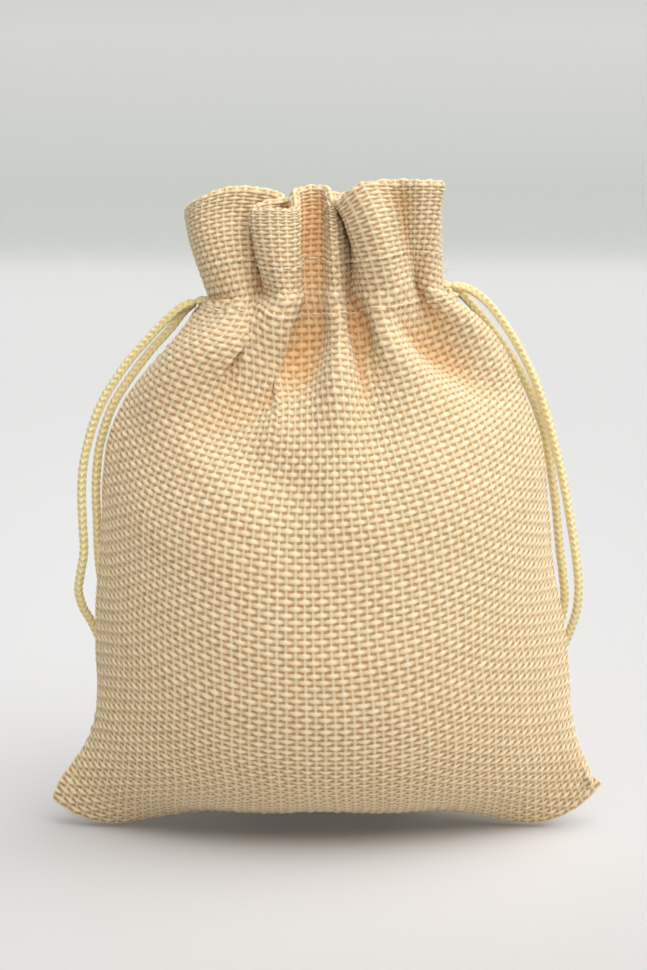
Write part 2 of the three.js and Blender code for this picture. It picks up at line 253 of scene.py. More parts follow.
# %% Cord sizes and routes
CORD_DIAMETER = 1.6
KNIT_STEP = 0.2
KNIT_SIDES = 16
STITCH_LENGTH = 1.2
STITCH_COLUMNS = 4
KNIT_RADIUS = 0.96
KNIT_SWELL = 0.06
KNIT_GROOVE = 0.05
END_ROUND = 0.6
END_LEAST = 0.08
ROUTES = {
    "left_front_strand": [
        [-22.6, -0.95, 97.4], [-25.2, -1.0, 96.4], [-27.9, -0.9, 94.2], [-31.5, -0.6, 90.5],
        [-34.7, -0.3, 86.9], [-37.3, 0.0, 83.3], [-39.6, 0.3, 79.6], [-41.2, 0.5, 76.0],
        [-42.4, 0.6, 72.2], [-43.3, 0.6, 68.4], [-43.8, 0.6, 63.2], [-43.7, 0.6, 56.4],
        [-43.6, 0.8, 51.6], [-44.3, 1.4, 47.8], [-44.9, 2.6, 44.2], [-44.4, 4.2, 40.9],
        [-43.0, 6.0, 37.6], [-41.4, 7.6, 33.2], [-40.2, 9.2, 28.0], [-39.3, 10.8, 22.0],
        [-38.7, 12.6, 16.0], [-38.2, 14.8, 10.4], [-37.3, 17.4, 6.0], [-35.5, 20.6, 3.0],
        [-32.9, 23.8, 1.6], [-30.0, 26.6, 1.4],
    ],
    "left_back_strand": [
        [-22.6, 0.95, 97.4], [-24.8, 1.0, 95.6], [-27.2, 1.0, 92.6], [-30.5, 1.1, 89.0],
        [-33.4, 1.3, 85.4], [-35.9, 1.6, 81.9], [-38.0, 1.9, 78.5], [-39.5, 2.3, 74.8],
        [-40.6, 2.7, 71.0], [-41.2, 3.0, 67.0], [-41.5, 3.3, 62.4], [-41.4, 3.8, 56.8],
        [-41.4, 4.6, 51.6], [-41.2, 5.9, 46.8], [-40.5, 7.6, 42.0], [-39.3, 9.4, 36.8],
        [-38.1, 11.0, 31.0], [-37.2, 12.4, 25.0], [-36.4, 13.8, 19.0], [-35.7, 15.6, 12.8],
        [-34.8, 17.8, 7.6], [-33.3, 20.2, 4.0], [-31.2, 22.6, 2.0], [-29.0, 24.6, 1.4],
    ],
    "right_front_strand": [
        [22.6, -0.95, 100.2], [25.6, -1.0, 99.7], [28.9, -0.9, 97.6], [31.9, -0.7, 94.1],
        [34.4, -0.4, 90.4], [36.5, -0.1, 86.6], [38.3, 0.2, 82.8], [39.7, 0.5, 79.0],
        [40.9, 0.6, 75.2], [41.9, 0.7, 71.6], [43.1, 0.7, 67.0], [44.1, 0.7, 62.4],
        [45.0, 0.7, 57.6], [45.8, 0.8, 53.0], [46.5, 1.1, 48.4], [46.9, 1.8, 44.0],
        [46.6, 3.0, 39.8], [45.6, 4.5, 35.8], [44.2, 6.3, 31.4], [42.9, 8.2, 26.4],
        [41.9, 10.1, 20.6], [41.1, 12.2, 14.6], [40.2, 14.8, 9.4], [38.8, 18.0, 5.2],
        [36.5, 21.3, 2.6], [33.8, 24.2, 1.5], [31.2, 26.4, 1.4],
    ],
    "right_back_strand": [
        [22.6, 0.95, 100.2], [25.1, 1.0, 98.3], [28.0, 1.0, 95.2], [30.9, 1.1, 91.6],
        [33.5, 1.3, 88.0], [35.7, 1.6, 84.3], [37.6, 1.9, 80.6], [39.0, 2.2, 77.0],
        [40.2, 2.5, 73.2], [41.1, 2.8, 69.2], [41.9, 3.1, 64.6], [42.6, 3.4, 60.0],
        [43.1, 3.8, 55.6], [43.6, 4.3, 51.2], [44.3, 5.0, 46.6], [44.8, 6.0, 42.0],
        [44.3, 7.4, 37.4], [42.9, 9.0, 32.2], [41.4, 10.6, 26.6], [40.1, 12.2, 20.6],
        [39.1, 13.8, 14.6], [38.0, 15.8, 9.2], [36.4, 18.2, 5.0], [34.2, 20.8, 2.5],
        [31.9, 22.8, 1.5], [30.2, 24.0, 1.4],
    ],
    "left_front_tail": [
        [-24.3, 28.0, 1.9], [-21.7, 29.2, 1.1], [-18.1, 29.8, 1.0], [-14.5, 29.2, 1.0],
    ],
    "left_back_tail": [
        [-24.2, 25.4, 1.9], [-21.5, 25.2, 1.1], [-17.8, 25.6, 1.0], [-14.6, 24.8, 1.0],
    ],
    "right_front_tail": [
        [25.9, 27.4, 1.9], [23.4, 28.6, 1.1], [19.8, 29.2, 1.0], [16.4, 28.8, 1.0],
    ],
    "right_back_tail": [
        [25.8, 24.8, 1.9], [23.2, 24.6, 1.1], [19.6, 25.0, 1.0], [16.9, 24.2, 1.0],
    ],
}
KNOTS = {"left": np.array([-26.9, 26.2, 2.9]), "right": np.array([28.4, 25.8, 2.9])}
for route_name, route in ROUTES.items():
    print(f"{route_name} is laid through {len(route)} points")


# %% Knitted tube
def knitted_tube(name, points):
    """A closed knitted cord along points in mm; returns the object, its line and its length.

    A ring of points stands square to the line at each step. The radius is the cord's, less a
    groove between the stitch columns (a cosine round the cord), plus a swell along each
    stitch (a cosine along the cord, whose phase runs up and down between columns and so draws
    a row of V shapes). At both ends it falls off as the square root, which rounds them.
    """
    line, run = smooth_line(points, KNIT_STEP)
    forward = unit(np.gradient(line, axis=0))
    side = 1.0 if line[0, 0] > 0 else -1.0
    lean = np.array([-side, -1.0, 1.0])
    out = unit(lean - forward * (forward @ lean)[:, None])
    turn = np.cross(forward, out)
    angle = np.arange(KNIT_SIDES) * 2 * np.pi / KNIT_SIDES
    column = STITCH_COLUMNS * angle / (2 * np.pi)
    sway = np.abs(2 * (column % 1.0) - 1)
    swell = np.cos(2 * np.pi * (run[:, None] / STITCH_LENGTH + 0.5 * sway[None, :]))
    groove = np.cos(2 * np.pi * column)[None, :]
    radius = 0.5 * CORD_DIAMETER * (KNIT_RADIUS + KNIT_SWELL * swell - KNIT_GROOVE * groove)
    from_end = np.minimum(run, run[-1] - run)[:, None]
    radius = radius * np.sqrt(np.clip(from_end / (END_ROUND * CORD_DIAMETER), END_LEAST, 1.0))
    radius = radius[..., None]
    stitches = run / STITCH_LENGTH
    made = tube(name, line, out, turn, angle, radius, STITCH_COLUMNS, stitches)
    return made, line, run[-1]


# %% [markdown]
# Each strand runs on into its knot. The knot itself is drawn as the two cords lying side by
# side along a trefoil, which is the path that a pulled-up overhand knot follows. It hides the
# place where the strands end and the tails begin.

# %% Strands, tails and knots
KNOT_REACH = 0.92
KNOT_LENGTH_SHARE = 0.85
KNOT_RISE = 1.1
KNOT_POINTS = 60
KNOT_SHIFTS = {"front": (0.0, 0.5, 0.35), "back": (0.0, -0.5, -0.35)}
TAIL_START = (0, 0, -0.6)
INTO_KNOT = 0.55
SHORT_OF_KNOT = 0.45
cord_pieces = []


def knot_line(centre, shift):
    """A small trefoil: x is sin t + 2 sin 2t, y is cos t - 2 cos 2t and z is -sin 3t."""
    t = np.linspace(0, 2 * np.pi, KNOT_POINTS)
    x = np.sin(t) + 2 * np.sin(2 * t)
    y = np.cos(t) - 2 * np.cos(2 * t)
    z = -KNOT_RISE * np.sin(3 * t)
    loop = np.stack([x, KNOT_LENGTH_SHARE * y, z], axis=-1) * KNOT_REACH
    return loop + centre + shift


def cord_part(name, points, body, packed=None):
    """A knitted tube that rides a body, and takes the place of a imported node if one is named."""
    made, line, long = knitted_tube(name, points)
    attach(made, body)
    if packed:
        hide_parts(packed)
    cord_pieces.append(made)
    return made, line, long


for side, centre in KNOTS.items():
    knot_turns = {}
    for which, shift in KNOT_SHIFTS.items():
        packed = f"{side}_knot" if which == "front" else None
        loop = knot_line(centre, shift)
        knot_turns[which], _, _ = cord_part(
            f"{side}_{which}_knot_turns", loop, f"{side}_loop", packed
        )
    for which, turns in knot_turns.items():
        packed = f"{side}_{which}_tail"
        route = [centre + TAIL_START] + ROUTES[packed]
        tail, _, _ = cord_part(f"{side}_{which}_tail_end", route, f"{side}_loop", packed)
        packed = f"{side}_{which}_strand"
        route = ROUTES[packed]
        knot_end = INTO_KNOT * centre + SHORT_OF_KNOT * np.array(route[-1])
        strand, line, long = cord_part(
            f"{side}_{which}_cord", route + [knot_end], f"{side}_loop", packed
        )
        [x * MM for x in route[0]]
        round(long * MM, 4)
        line * MM
        print(f"{side} {which} strand is {long:.1f} mm long")

# %% [markdown]
# Inside the band the two strands of a side are one cord. Only its first stretch is drawn, as
# two short runs that reach in through the slit, so that cord comes out when the loop is pulled.

# %% Runs inside the band
SLIT_PLACE = 22.6
RUN_MOUTH = 23.0
RUN_INSIDE = 15.0
STRAND_SETBACK = 0.95
LEFT_CORD_HEIGHT = 97.4
RIGHT_CORD_HEIGHT = 100.2
for side, sign, height in (("left", -1, LEFT_CORD_HEIGHT), ("right", 1, RIGHT_CORD_HEIGHT)):
    for which, depth in (("front", -STRAND_SETBACK), ("back", STRAND_SETBACK)):
        places = (RUN_MOUTH, SLIT_PLACE - 0.5 * RUN_INSIDE, SLIT_PLACE - RUN_INSIDE)
        route = [[sign * place, depth, height] for place in places]
        packed = f"{side}_cord_run" if which == "front" else None
        cord_part(f"{side}_{which}_run", route, f"{side}_cord", packed)

# %% [markdown]
# ## The gathered neck
#
# The cloth was cut 100 mm wide and 140 mm tall, front and back. Drawn shut, its width has to fit
# round a neck less than half as wide, so it stands in pleats. A pleat is easiest to lay one by
# one: for each fold, the table says how far along the cloth it is, and where that point lies at
# the rim, halfway down the frill and at the cord. Curves join the folds.

# %% Fold tables
PANEL_WIDTH = 100.0
PANEL_HEIGHT = 140.0
COLUMNS = 64
ROWS = 94
STEP_ACROSS = PANEL_WIDTH / COLUMNS
STEP_UP = PANEL_HEIGHT / ROWS
CORD_ROW = 79
ROUND_MM = np.arange(2 * COLUMNS) * STEP_ACROSS
FRONT_FOLDS = np.array([
    # along, rim x y z, middle x y z, cord x y z
    [0, -24.3, 0.0, 113.4, -23.2, 0.0, 107.0, -20.3, 0.0, 98.8],
    [8, -21.6, -6.8, 115.4, -21.2, -7.0, 108.2, -18.4, -5.6, 99.6],
    [16, -14.6, -6.8, 117.0, -15.4, -6.8, 109.2, -14.2, -7.6, 100.2],
    [23, -7.6, -2.6, 115.6, -9.8, -2.8, 108.8, -10.8, -3.6, 100.2],
    [29.5, -12.6, -7.0, 113.6, -11.8, -8.6, 107.6, -9.8, -7.4, 100.0],
    [34.5, -8.6, -9.8, 113.6, -8.2, -11.2, 107.4, -7.0, -11.4, 99.6],
    [39, -4.6, -8.6, 113.6, -4.6, -9.8, 107.6, -4.4, -9.2, 99.8],
    [46, -3.8, -1.6, 116.8, -3.6, -3.0, 109.2, -3.4, -5.0, 100.4],
    [49.5, -0.4, -1.2, 117.2, -0.4, -2.6, 109.4, -0.4, -5.2, 100.4],
    [56, 1.3, -7.6, 114.4, 1.9, -8.6, 108.2, 2.2, -10.4, 100.2],
    [61, 2.9, -1.6, 115.0, 4.8, -2.2, 108.6, 4.6, -4.0, 100.0],
    [66, 3.0, -4.8, 114.8, 5.0, -5.8, 108.4, 6.0, -6.8, 100.8],
    [70, 2.5, -8.4, 114.6, 5.4, -10.0, 108.6, 7.6, -10.2, 101.0],
    [75, 6.6, -11.0, 117.8, 10.0, -12.4, 109.8, 12.0, -12.0, 101.6],
    [80, 12.6, -8.0, 118.0, 13.8, -6.8, 110.4, 14.8, -8.0, 102.2],
    [86, 17.2, -9.2, 118.0, 16.8, -7.6, 110.6, 16.4, -4.6, 102.2],
    [90.5, 20.9, -6.8, 117.8, 19.8, -6.8, 110.4, 18.8, -6.8, 101.8],
    [95, 20.4, -2.8, 116.8, 20.5, -3.2, 109.6, 20.8, -4.0, 101.0],
    [100, 20.8, 0.0, 116.4, 20.8, 0.0, 109.0, 20.8, 0.0, 100.4],
])
BACK_FOLDS = np.array([
    [7, 18.0, 5.8, 116.0, 18.4, 5.8, 108.4, 18.4, 5.8, 100.2],
    [13, 14.0, 9.4, 116.8, 14.0, 9.4, 108.2, 13.8, 9.6, 99.8],
    [21, 11.6, 3.8, 115.8, 11.0, 4.4, 107.8, 10.6, 5.0, 99.6],
    [29, 7.0, 10.4, 115.0, 6.8, 10.2, 107.4, 6.6, 10.6, 99.4],
    [35, 3.8, 6.2, 115.6, 3.8, 6.2, 107.4, 3.6, 6.4, 99.2],
    [44, -2.4, 10.8, 116.2, -1.8, 10.6, 107.6, -1.4, 11.0, 99.2],
    [50, -3.6, 5.0, 115.4, -3.8, 5.0, 107.4, -4.0, 5.4, 99.2],
    [58, -8.8, 10.6, 114.2, -8.2, 10.6, 107.0, -7.8, 10.8, 99.2],
    [66, -10.8, 3.2, 115.0, -10.8, 4.2, 107.2, -10.8, 5.2, 99.2],
    [75, -16.4, 9.6, 114.2, -15.2, 9.4, 106.8, -14.2, 9.2, 99.0],
    [84, -18.8, 4.8, 114.6, -18.0, 5.2, 107.0, -17.2, 5.4, 99.0],
    [92, -22.6, 6.6, 113.6, -21.2, 6.2, 106.6, -19.4, 5.4, 98.8],
])
MIDDLE_SHARE = 0.45


def fold_rows():
    """Rows of the neck, from just below the cord to the rim.

    Round the neck, a cubic runs through the folds, and it closes on itself. Up the frill, the
    one parabola through the cord, middle and rim points gives every row.
    """
    once_round = np.array([2 * PANEL_WIDTH] + [0] * 9)
    folds = np.concatenate([FRONT_FOLDS, BACK_FOLDS + once_round / 2])
    turned = np.concatenate([folds[-3:] - once_round, folds, folds[:3] + once_round])
    laid = hermite(turned[:, 0], turned[:, 1:], ROUND_MM)
    rim, middle, cord = laid[:, 0:3], laid[:, 3:6], laid[:, 6:9]
    share = (np.arange(CORD_ROW - 1, ROWS + 1) - CORD_ROW) / (ROWS - CORD_ROW)
    share = share[:, None, None]
    m = MIDDLE_SHARE
    return (
        (share - m) * (share - 1) / m * cord
        + share * (share - 1) / (m * (m - 1)) * middle
        + share * (share - m) / (1 - m) * rim
    )


neck = fold_rows()
print("neck width in mm:", np.ptp(neck[..., 0]).round(1), "depth:", np.ptp(neck[..., 1]).round(1))

# %% [markdown]
# ## The filled body
#
# A full bag takes its shape from three things: the cloth hardly stretches, the filling
# pushes it outwards, and its weight pulls it down onto the table. So the body is found by
# relaxing the cloth. It starts as a rough pillow between the bottom seam and the neck. At each
# step the filling's push and gravity move every point, and then the threads pull
# the points back to their own spacing. The two side seams are held on the outline that they
# have on the real pouch, because a seam is stiffer than the cloth beside it.

# %% Seam outlines
LEFT_SEAM = [
    (-49.9, 5.2), (-48.6, 8.6), (-46.2, 12), (-44.0, 15.2), (-42.2, 19), (-41.3, 24),
    (-41.3, 32), (-41.3, 41), (-40.7, 49), (-40.0, 56), (-39.6, 66), (-38.6, 72.5),
    (-36.9, 77), (-34.3, 81.4), (-30.8, 85.6), (-27.2, 89.2), (-23.4, 93), (-20.9, 96),
    (-20.3, 98.8),
]
RIGHT_SEAM = [
    (50.0, 7.2), (49.4, 9.6), (48, 13.2), (46.4, 17.4), (45.5, 23), (44.9, 29.5), (44.5, 34),
    (43.4, 41), (41.8, 49), (41.0, 56), (40.3, 64), (39.4, 71.4), (37.7, 76.5), (35.7, 81.6),
    (33.9, 86), (31.8, 89.9), (28.8, 93.2), (24.6, 96.6), (21.8, 98.8), (20.8, 100.4),
]
FILL_LEVELS = [0, 2, 5, 12, 22, 36, 55, 72, 84, 96]
FILL_DEPTH = [11, 14.0, 17.5, 21.5, 24, 25, 24.3, 20.6, 16.5, 12.5]
FILL_EDGE_LEVELS = [0, 4, 8, 14, 20, 27, 40, 56, 70, 80, 90, 97]
FILL_LEFT = [52, 51, 50, 46.4, 43.6, 43.4, 43.6, 42.6, 42.2, 39.8, 33.0, 24.0]
FILL_RIGHT = [52, 52, 51, 49.6, 48, 47, 46, 44.0, 42.6, 40.4, 35.6, 28.0]
LIFT = 3.1
LIFT_SLOPE = 0.22
LIFT_SPAN = (23.0, 44.0)
LIFT_WAVE = 0.5
LIFT_WAVE_REACH = 3.35
FILL_LIFT = 0.3
CROWN_POWER = 2.2
CROWN_ROUND = 0.85
PUSH_FADE = 1.5
ON_FRONT = np.where(ROUND_MM <= PANEL_WIDTH, ROUND_MM, 2 * PANEL_WIDTH - ROUND_MM)
FROM_MIDDLE = ON_FRONT - PANEL_WIDTH / 2
HALF_WIDTH = PANEL_WIDTH / 2
PILLOW_NARROW = 0.86
PILLOW_FOOT = 0.14
FOOT_FADE = 6
PILLOW_GAP = 0.3
PILLOW_BULGE = 18
BULGE_POWER = 0.7
PILLOW_CROWN = 0.8
GATHER_FROM = 0.55
GATHER_SPAN = 0.45
print("seam outline points, left and right:", len(LEFT_SEAM), len(RIGHT_SEAM))
print("filling is deepest at", max(FILL_DEPTH), "mm from the middle plane")


def seam_points(outline, count):
    """count points, evenly spaced along the seam's outline, in the plane y = 0."""
    outline = np.array(outline, dtype=float)
    chords = travelled(outline)
    xz = hermite(chords, outline, np.linspace(0, chords[-1], count))
    return np.stack([xz[:, 0], np.zeros(count), xz[:, 1]], axis=-1)


# %% Rough pillow
def smooth_step(share):
    """Eases a share from 0 to 1 in and out: 3 share ^ 2 - 2 share ^ 3."""
    return share * share * (3 - 2 * share)


def rough_pillow():
    """Bulging cloth below, which turns into the laid pleats above.

    The bulge is sin(pi * rise) ^ 0.7 up the bag, times (1 - (x / half width) ^ 2) ^ 0.8 across.
    """
    low_rows = CORD_ROW - 1
    off_seam = (ROUND_MM > 0) & (ROUND_MM != PANEL_WIDTH)
    face = np.where(ROUND_MM > PANEL_WIDTH, 1.0, -1.0) * off_seam
    rise = (np.arange(low_rows) / low_rows)[:, None]
    width = PILLOW_NARROW + PILLOW_FOOT * (1 - np.minimum(1, FOOT_FADE * rise))
    bulge = PILLOW_BULGE * np.sin(np.pi * rise) ** BULGE_POWER
    crown = np.clip(1 - (FROM_MIDDLE / HALF_WIDTH) ** 2, 0, 1) ** PILLOW_CROWN
    height = rise * neck[0][:, 2]
    depth = face * (PILLOW_GAP + bulge * crown)
    flat = np.stack([FROM_MIDDLE * width, depth, height], axis=-1)
    gather = smooth_step(np.clip((rise - GATHER_FROM) / GATHER_SPAN, 0, 1)[..., None])
    drawn = np.broadcast_to(neck[0], flat.shape).copy()
    drawn[..., 2] = height
    cloth = np.concatenate([flat * (1 - gather) + drawn * gather, neck])
    cloth[..., 2] = np.maximum(cloth[..., 2], 0.0)
    cloth[:low_rows, 0] = seam_points(LEFT_SEAM, CORD_ROW)[:-1]
    cloth[:low_rows, COLUMNS] = seam_points(RIGHT_SEAM, CORD_ROW)[:-1]
    return cloth


# %% Table and filling
def support(cloth):
    """Height of what each point rests on: the table, and the lifted filling at the front.

    Between the two corners the underside hangs free. It is a gentle slope there, which leaves
    the table at the back, passes the seam at LIFT and goes on rising towards the front. A slow
    wave across the width keeps its edge from being straight.
    """
    inner, outer = LIFT_SPAN
    across, forward = cloth[..., 0], -cloth[..., 1]
    share = smooth_step(np.clip((outer - np.abs(across)) / (outer - inner), 0, 1))
    wave = LIFT_WAVE * np.cos(across / LIFT_WAVE_REACH)
    return share * np.maximum(LIFT + wave + LIFT_SLOPE * forward, 0.0)


def room_left(cloth):
    """How much further out the filling would reach, from 1 well inside it to -1 outside.

    The filling's depth at a height above what it rests on is a table. Across the width it
    falls off towards the sides as (1 - |x / edge| ^ 2.2) ^ 0.85.
    """
    x, y = cloth[..., 0:1], cloth[..., 1:2]
    z = cloth[..., 2:3] - FILL_LIFT * support(cloth)[..., None]
    depth = np.interp(z, FILL_LEVELS, FILL_DEPTH)
    edge = np.where(
        x < 0,
        np.interp(z, FILL_EDGE_LEVELS, FILL_LEFT),
        np.interp(z, FILL_EDGE_LEVELS, FILL_RIGHT),
    )
    depth = depth * np.clip(1 - (np.abs(x) / edge) ** CROWN_POWER, 0.0, 1) ** CROWN_ROUND
    return np.clip((depth - np.abs(y)) / PUSH_FADE, -1.0, 1.0)


# %% Relax the cloth
RELAX_STEPS = 120
PULLS_PER_STEP = 12
TIME_STEP = 1 / 120
PUSH = 700.0
PUSH_FROM_WEIGHT = 1.6
GRAVITY = 600.0
DRAG = 0.93
SEAM_EASE = 0.125
SEAM_POWER = 2.2
BUCKLE = 0.15
THREAD_PULL = 0.5
SHEAR_PULL = 0.10
BEND_PULL = 0.02
FIRST_RUFFLE = 0.15
FILL_TOP = 96
HALF_GAP = 0.2
TOUCHING = 0.05
TABLE_GRIP = 0.2
BODY_ROWS = slice(5, 60)


def pull(cloth, free, column_shift, row_shift, rest, strength, slack=1.0):
    """Moves each pair of points, that many columns and rows apart, towards its rest distance.

    Each end moves by strength times the difference, shared by how free the two ends are. Where
    the pair is too close, slack scales the difference: cloth buckles before it pushes back.
    """
    rows = len(cloth) - row_shift
    a, b = cloth[:rows], np.roll(cloth, -column_shift, axis=1)[row_shift:]
    free_a, free_b = free[:rows], np.roll(free, -column_shift, axis=1)[row_shift:]
    along = b - a
    long = np.sqrt((along**2).sum(-1, keepdims=True)) + 1e-9
    short = long - rest
    short = np.where(short < 0, short * slack, short)
    move = strength * short / (free_a + free_b + 1e-9) * along / long
    change = np.zeros_like(cloth)
    change[:rows] += move * free_a
    other = np.zeros_like(cloth)
    other[row_shift:] -= move * free_b
    return cloth + change + np.roll(other, column_shift, axis=1)


def outward(points):
    """Direction square to a closed tube of points: the way round it crossed with the way up."""
    right = np.roll(points, -1, axis=1) - np.roll(points, 1, axis=1)
    return unit(np.cross(right, np.gradient(points, axis=0)))


def relax(cloth):
    """Steps the free cloth forward in time until the filling, weight and threads balance."""
    low_rows = CORD_ROW - 1
    free = np.ones((ROWS + 1, 2 * COLUMNS, 1), dtype=np.float32)
    free[low_rows:] = 0
    free[2:, [0, COLUMNS]] = 0
    towards_seam = np.abs(FROM_MIDDLE) / HALF_WIDTH
    step_up = (STEP_UP * (1 - SEAM_EASE * towards_seam**SEAM_POWER))[None, :, None]
    diagonal = np.hypot(STEP_ACROSS, step_up)
    mirror = (2 * COLUMNS - np.arange(2 * COLUMNS)) % (2 * COLUMNS)
    draw = np.random.default_rng(3)
    cloth[:low_rows] += draw.normal(0, FIRST_RUFFLE, cloth[:low_rows].shape) * free[:low_rows]
    cloth = cloth.astype(np.float32)
    speed = np.zeros_like(cloth)
    for _ in range(RELAX_STEPS):
        height = cloth[..., 2:3]
        push = PUSH * (1 + PUSH_FROM_WEIGHT * (1 - height / 100)) * (height < FILL_TOP)
        force = push * room_left(cloth) * outward(cloth)
        force = force - np.array([0, 0, GRAVITY])
        speed = (speed + TIME_STEP * force) * DRAG
        before = cloth
        cloth = cloth + TIME_STEP * speed * free
        for _ in range(PULLS_PER_STEP):
            for _ in range(2):
                cloth = pull(cloth, free, 1, 0, STEP_ACROSS, THREAD_PULL)
                cloth = pull(cloth, free, 0, 1, step_up, THREAD_PULL, BUCKLE)
            cloth = pull(cloth, free, 1, 1, diagonal, SHEAR_PULL)
            cloth = pull(cloth, free, -1, 1, diagonal, SHEAR_PULL)
            cloth = pull(cloth, free, 2, 0, 2 * STEP_ACROSS, BEND_PULL)
            cloth = pull(cloth, free, 0, 2, 2 * step_up, BEND_PULL)
            cloth[..., 2] = np.maximum(cloth[..., 2], support(cloth))
            cloth[0] = (cloth[0] + cloth[0][mirror]) / 2
            front = cloth[:low_rows, 1:COLUMNS, 1]
            back = cloth[:low_rows, COLUMNS + 1:, 1]
            cloth[:low_rows, 1:COLUMNS, 1] = np.minimum(front, -HALF_GAP)
            cloth[:low_rows, COLUMNS + 1:, 1] = np.maximum(back, HALF_GAP)
        speed = (cloth - before) / TIME_STEP
        on_table = cloth[..., 2:3] < TOUCHING
        speed = np.where(on_table, speed * np.array([TABLE_GRIP, TABLE_GRIP, 1.0]), speed)
    return cloth.astype(float)


cloth = relax(rough_pillow())
across_stretch = np.linalg.norm(np.roll(cloth, -1, axis=1) - cloth, axis=-1) / STEP_ACROSS
up_stretch = np.linalg.norm(np.diff(cloth, axis=0), axis=-1) / STEP_UP
print("mean stretch of the body across:", across_stretch[BODY_ROWS].mean().round(3))
print("mean stretch of the body up:", up_stretch[BODY_ROWS].mean().round(3))

# %% [markdown]
# A coarse net of threads leaves a fine ripple on the sides, where slightly too much cloth meets
# the seam. Averaging each point with its neighbours a few times takes it out. It is
# done fully on the body and fades out below the neck, so the folds stay crisp. On the underside
# slack cloth gathers in a roll, and averaging up and down the cloth only takes that up.

# %% Calm the ripple
CALM_PASSES = 70
CALM_ROWS = (62, 78)
UNDERSIDE_PASSES = 90
UNDERSIDE_ROWS = (18, 30)
SEAM_COLUMNS = 5
column = np.arange(2 * COLUMNS)
from_seam = np.minimum(column % COLUMNS, COLUMNS - column % COLUMNS)
off_seam = np.clip(from_seam / SEAM_COLUMNS, 0, 1)


def calm(cloth, passes, rows, across):
    """Repeats: new point = half itself + half the mean of its neighbours, by share.

    The share is 1 below the first row and falls to 0 at the second and at the seams. With
    across at 1 the mean takes all four neighbours, and at 0 only the two up and down.
    """
    row = np.arange(ROWS + 1)[:, None, None]
    share = np.clip((rows[1] - row) / (rows[1] - rows[0]), 0, 1) * off_seam[None, :, None]
    share[0] = 0
    for _ in range(passes):
        near = cloth.copy()
        near[1:-1] = (cloth[2:] + cloth[:-2]) / 2
        beside = (np.roll(cloth, 1, axis=1) + np.roll(cloth, -1, axis=1)) / 2
        near += 0.5 * across * (beside - near)
        cloth = cloth + 0.5 * share * (near - cloth)
    return cloth


cloth = calm(cloth, CALM_PASSES, CALM_ROWS, 1.0)
cloth = calm(cloth, UNDERSIDE_PASSES, UNDERSIDE_ROWS, 0.0)
print("body is", np.ptp(cloth[:60, :, 1]).round(1), "mm deep")

# %% [markdown]
# A gathered neck throws long folds over the shoulders: rolls that start at a pleat and run down
# and outwards, with a hollow under each. The relaxed cloth has the small folds. The large ones
# are added as rows of a table: a line on the front or back, a width and a height, which is
# below zero for a hollow.

# %% Long folds
LONG_FOLDS = [
    # face, start x z, end x z, width, height
    (-1, -6.0, 99.0, -35.0, 78.0, 4.4, 5.4),
    (-1, 0.0, 93.0, -23.0, 71.5, 4.6, -5.8),
    (-1, -15.0, 99.0, -27.0, 88.0, 1.8, -1.6),
    (-1, 1.8, 99.0, 2.6, 76.0, 2.4, 4.6),
    (-1, 6.4, 97.0, 7.2, 87.0, 2.3, -3.6),
    (-1, 8.0, 100.0, 17.0, 83.0, 2.8, 4.0),
    (-1, 14.0, 95.0, 36.0, 80.0, 4.4, -5.2),
    (-1, 21.0, 99.5, 38.0, 81.5, 3.2, 3.8),
    (-1, -12.0, 71.0, 2.0, 64.0, 5.5, -2.0),
    (-1, -30.0, 60.0, -14.0, 54.0, 8.0, 0.9),
    (-1, -4.0, 58.0, 4.0, 34.0, 12.0, -1.7),
    (-1, 20.0, 66.0, 34.0, 50.0, 8.0, 0.8),
    (1, -6.0, 95.0, -26.0, 76.0, 3.6, 2.2),
    (1, -1.0, 93.0, -9.0, 70.0, 3.6, -2.6),
    (1, 4.0, 95.0, 6.0, 70.0, 3.4, 2.0),
    (1, 9.0, 93.0, 20.0, 74.0, 3.6, -2.6),
    (1, 14.0, 96.0, 33.0, 80.0, 3.4, 2.0),
    (1, -16.0, 94.0, -31.0, 83.0, 3.0, -2.0),
]
FOLD_TOP = 99.5
FOLD_TOP_FADE = 7
NARROW_START = 0.75
WIDENING = 0.6
EASE_PASSES = 60
EASE_BEND_PULL = 0.1


def long_folds(cloth):
    """Moves the cloth along its normal by a sum of rounded lines.

    For each line, the move is its height times exp(-(distance / width) ^ 2), times
    1 - along ^ 2, where along goes from 0 at its start to 1 at its end. The width grows along
    the line.
    """
    place = cloth[..., [0, 2]]
    face = np.where(column <= COLUMNS, -1, 1)[None, :]
    below_top = np.clip((FOLD_TOP - cloth[..., 2]) / FOLD_TOP_FADE, 0, 1)
    hold = off_seam[None, :] * below_top
    total = np.zeros(cloth.shape[:2])
    for which, x0, z0, x1, z1, width, height in LONG_FOLDS:
        start, line = np.array([x0, z0]), np.array([x1 - x0, z1 - z0])
        along = ((place - start) @ line) / (line @ line)
        nearest = start + np.clip(along, 0, 1)[..., None] * line
        distance = np.linalg.norm(place - nearest, axis=-1)
        fade = 1 - np.clip(along, 0, 1) ** 2
        wide = width * (NARROW_START + WIDENING * np.clip(along, 0, 1))
        total += (face == which) * height * fade * np.exp(-((distance / wide) ** 2))
    return cloth + outward(cloth) * (total * hold)[..., None]


def ease(cloth):
    """Pulls in the threads that the added folds have stretched, and leaves the rest alone."""
    free = np.ones((ROWS + 1, 2 * COLUMNS, 1))
    free[CORD_ROW - 1:] = 0
    free[0] = 0
    free[:, [0, COLUMNS]] = 0
    for _ in range(EASE_PASSES):
        cloth = pull(cloth, free, 1, 0, STEP_ACROSS, THREAD_PULL, BUCKLE)
        cloth = pull(cloth, free, 0, 1, STEP_UP, THREAD_PULL, BUCKLE)
        cloth = pull(cloth, free, 2, 0, 2 * STEP_ACROSS, EASE_BEND_PULL, 0.0)
    return cloth


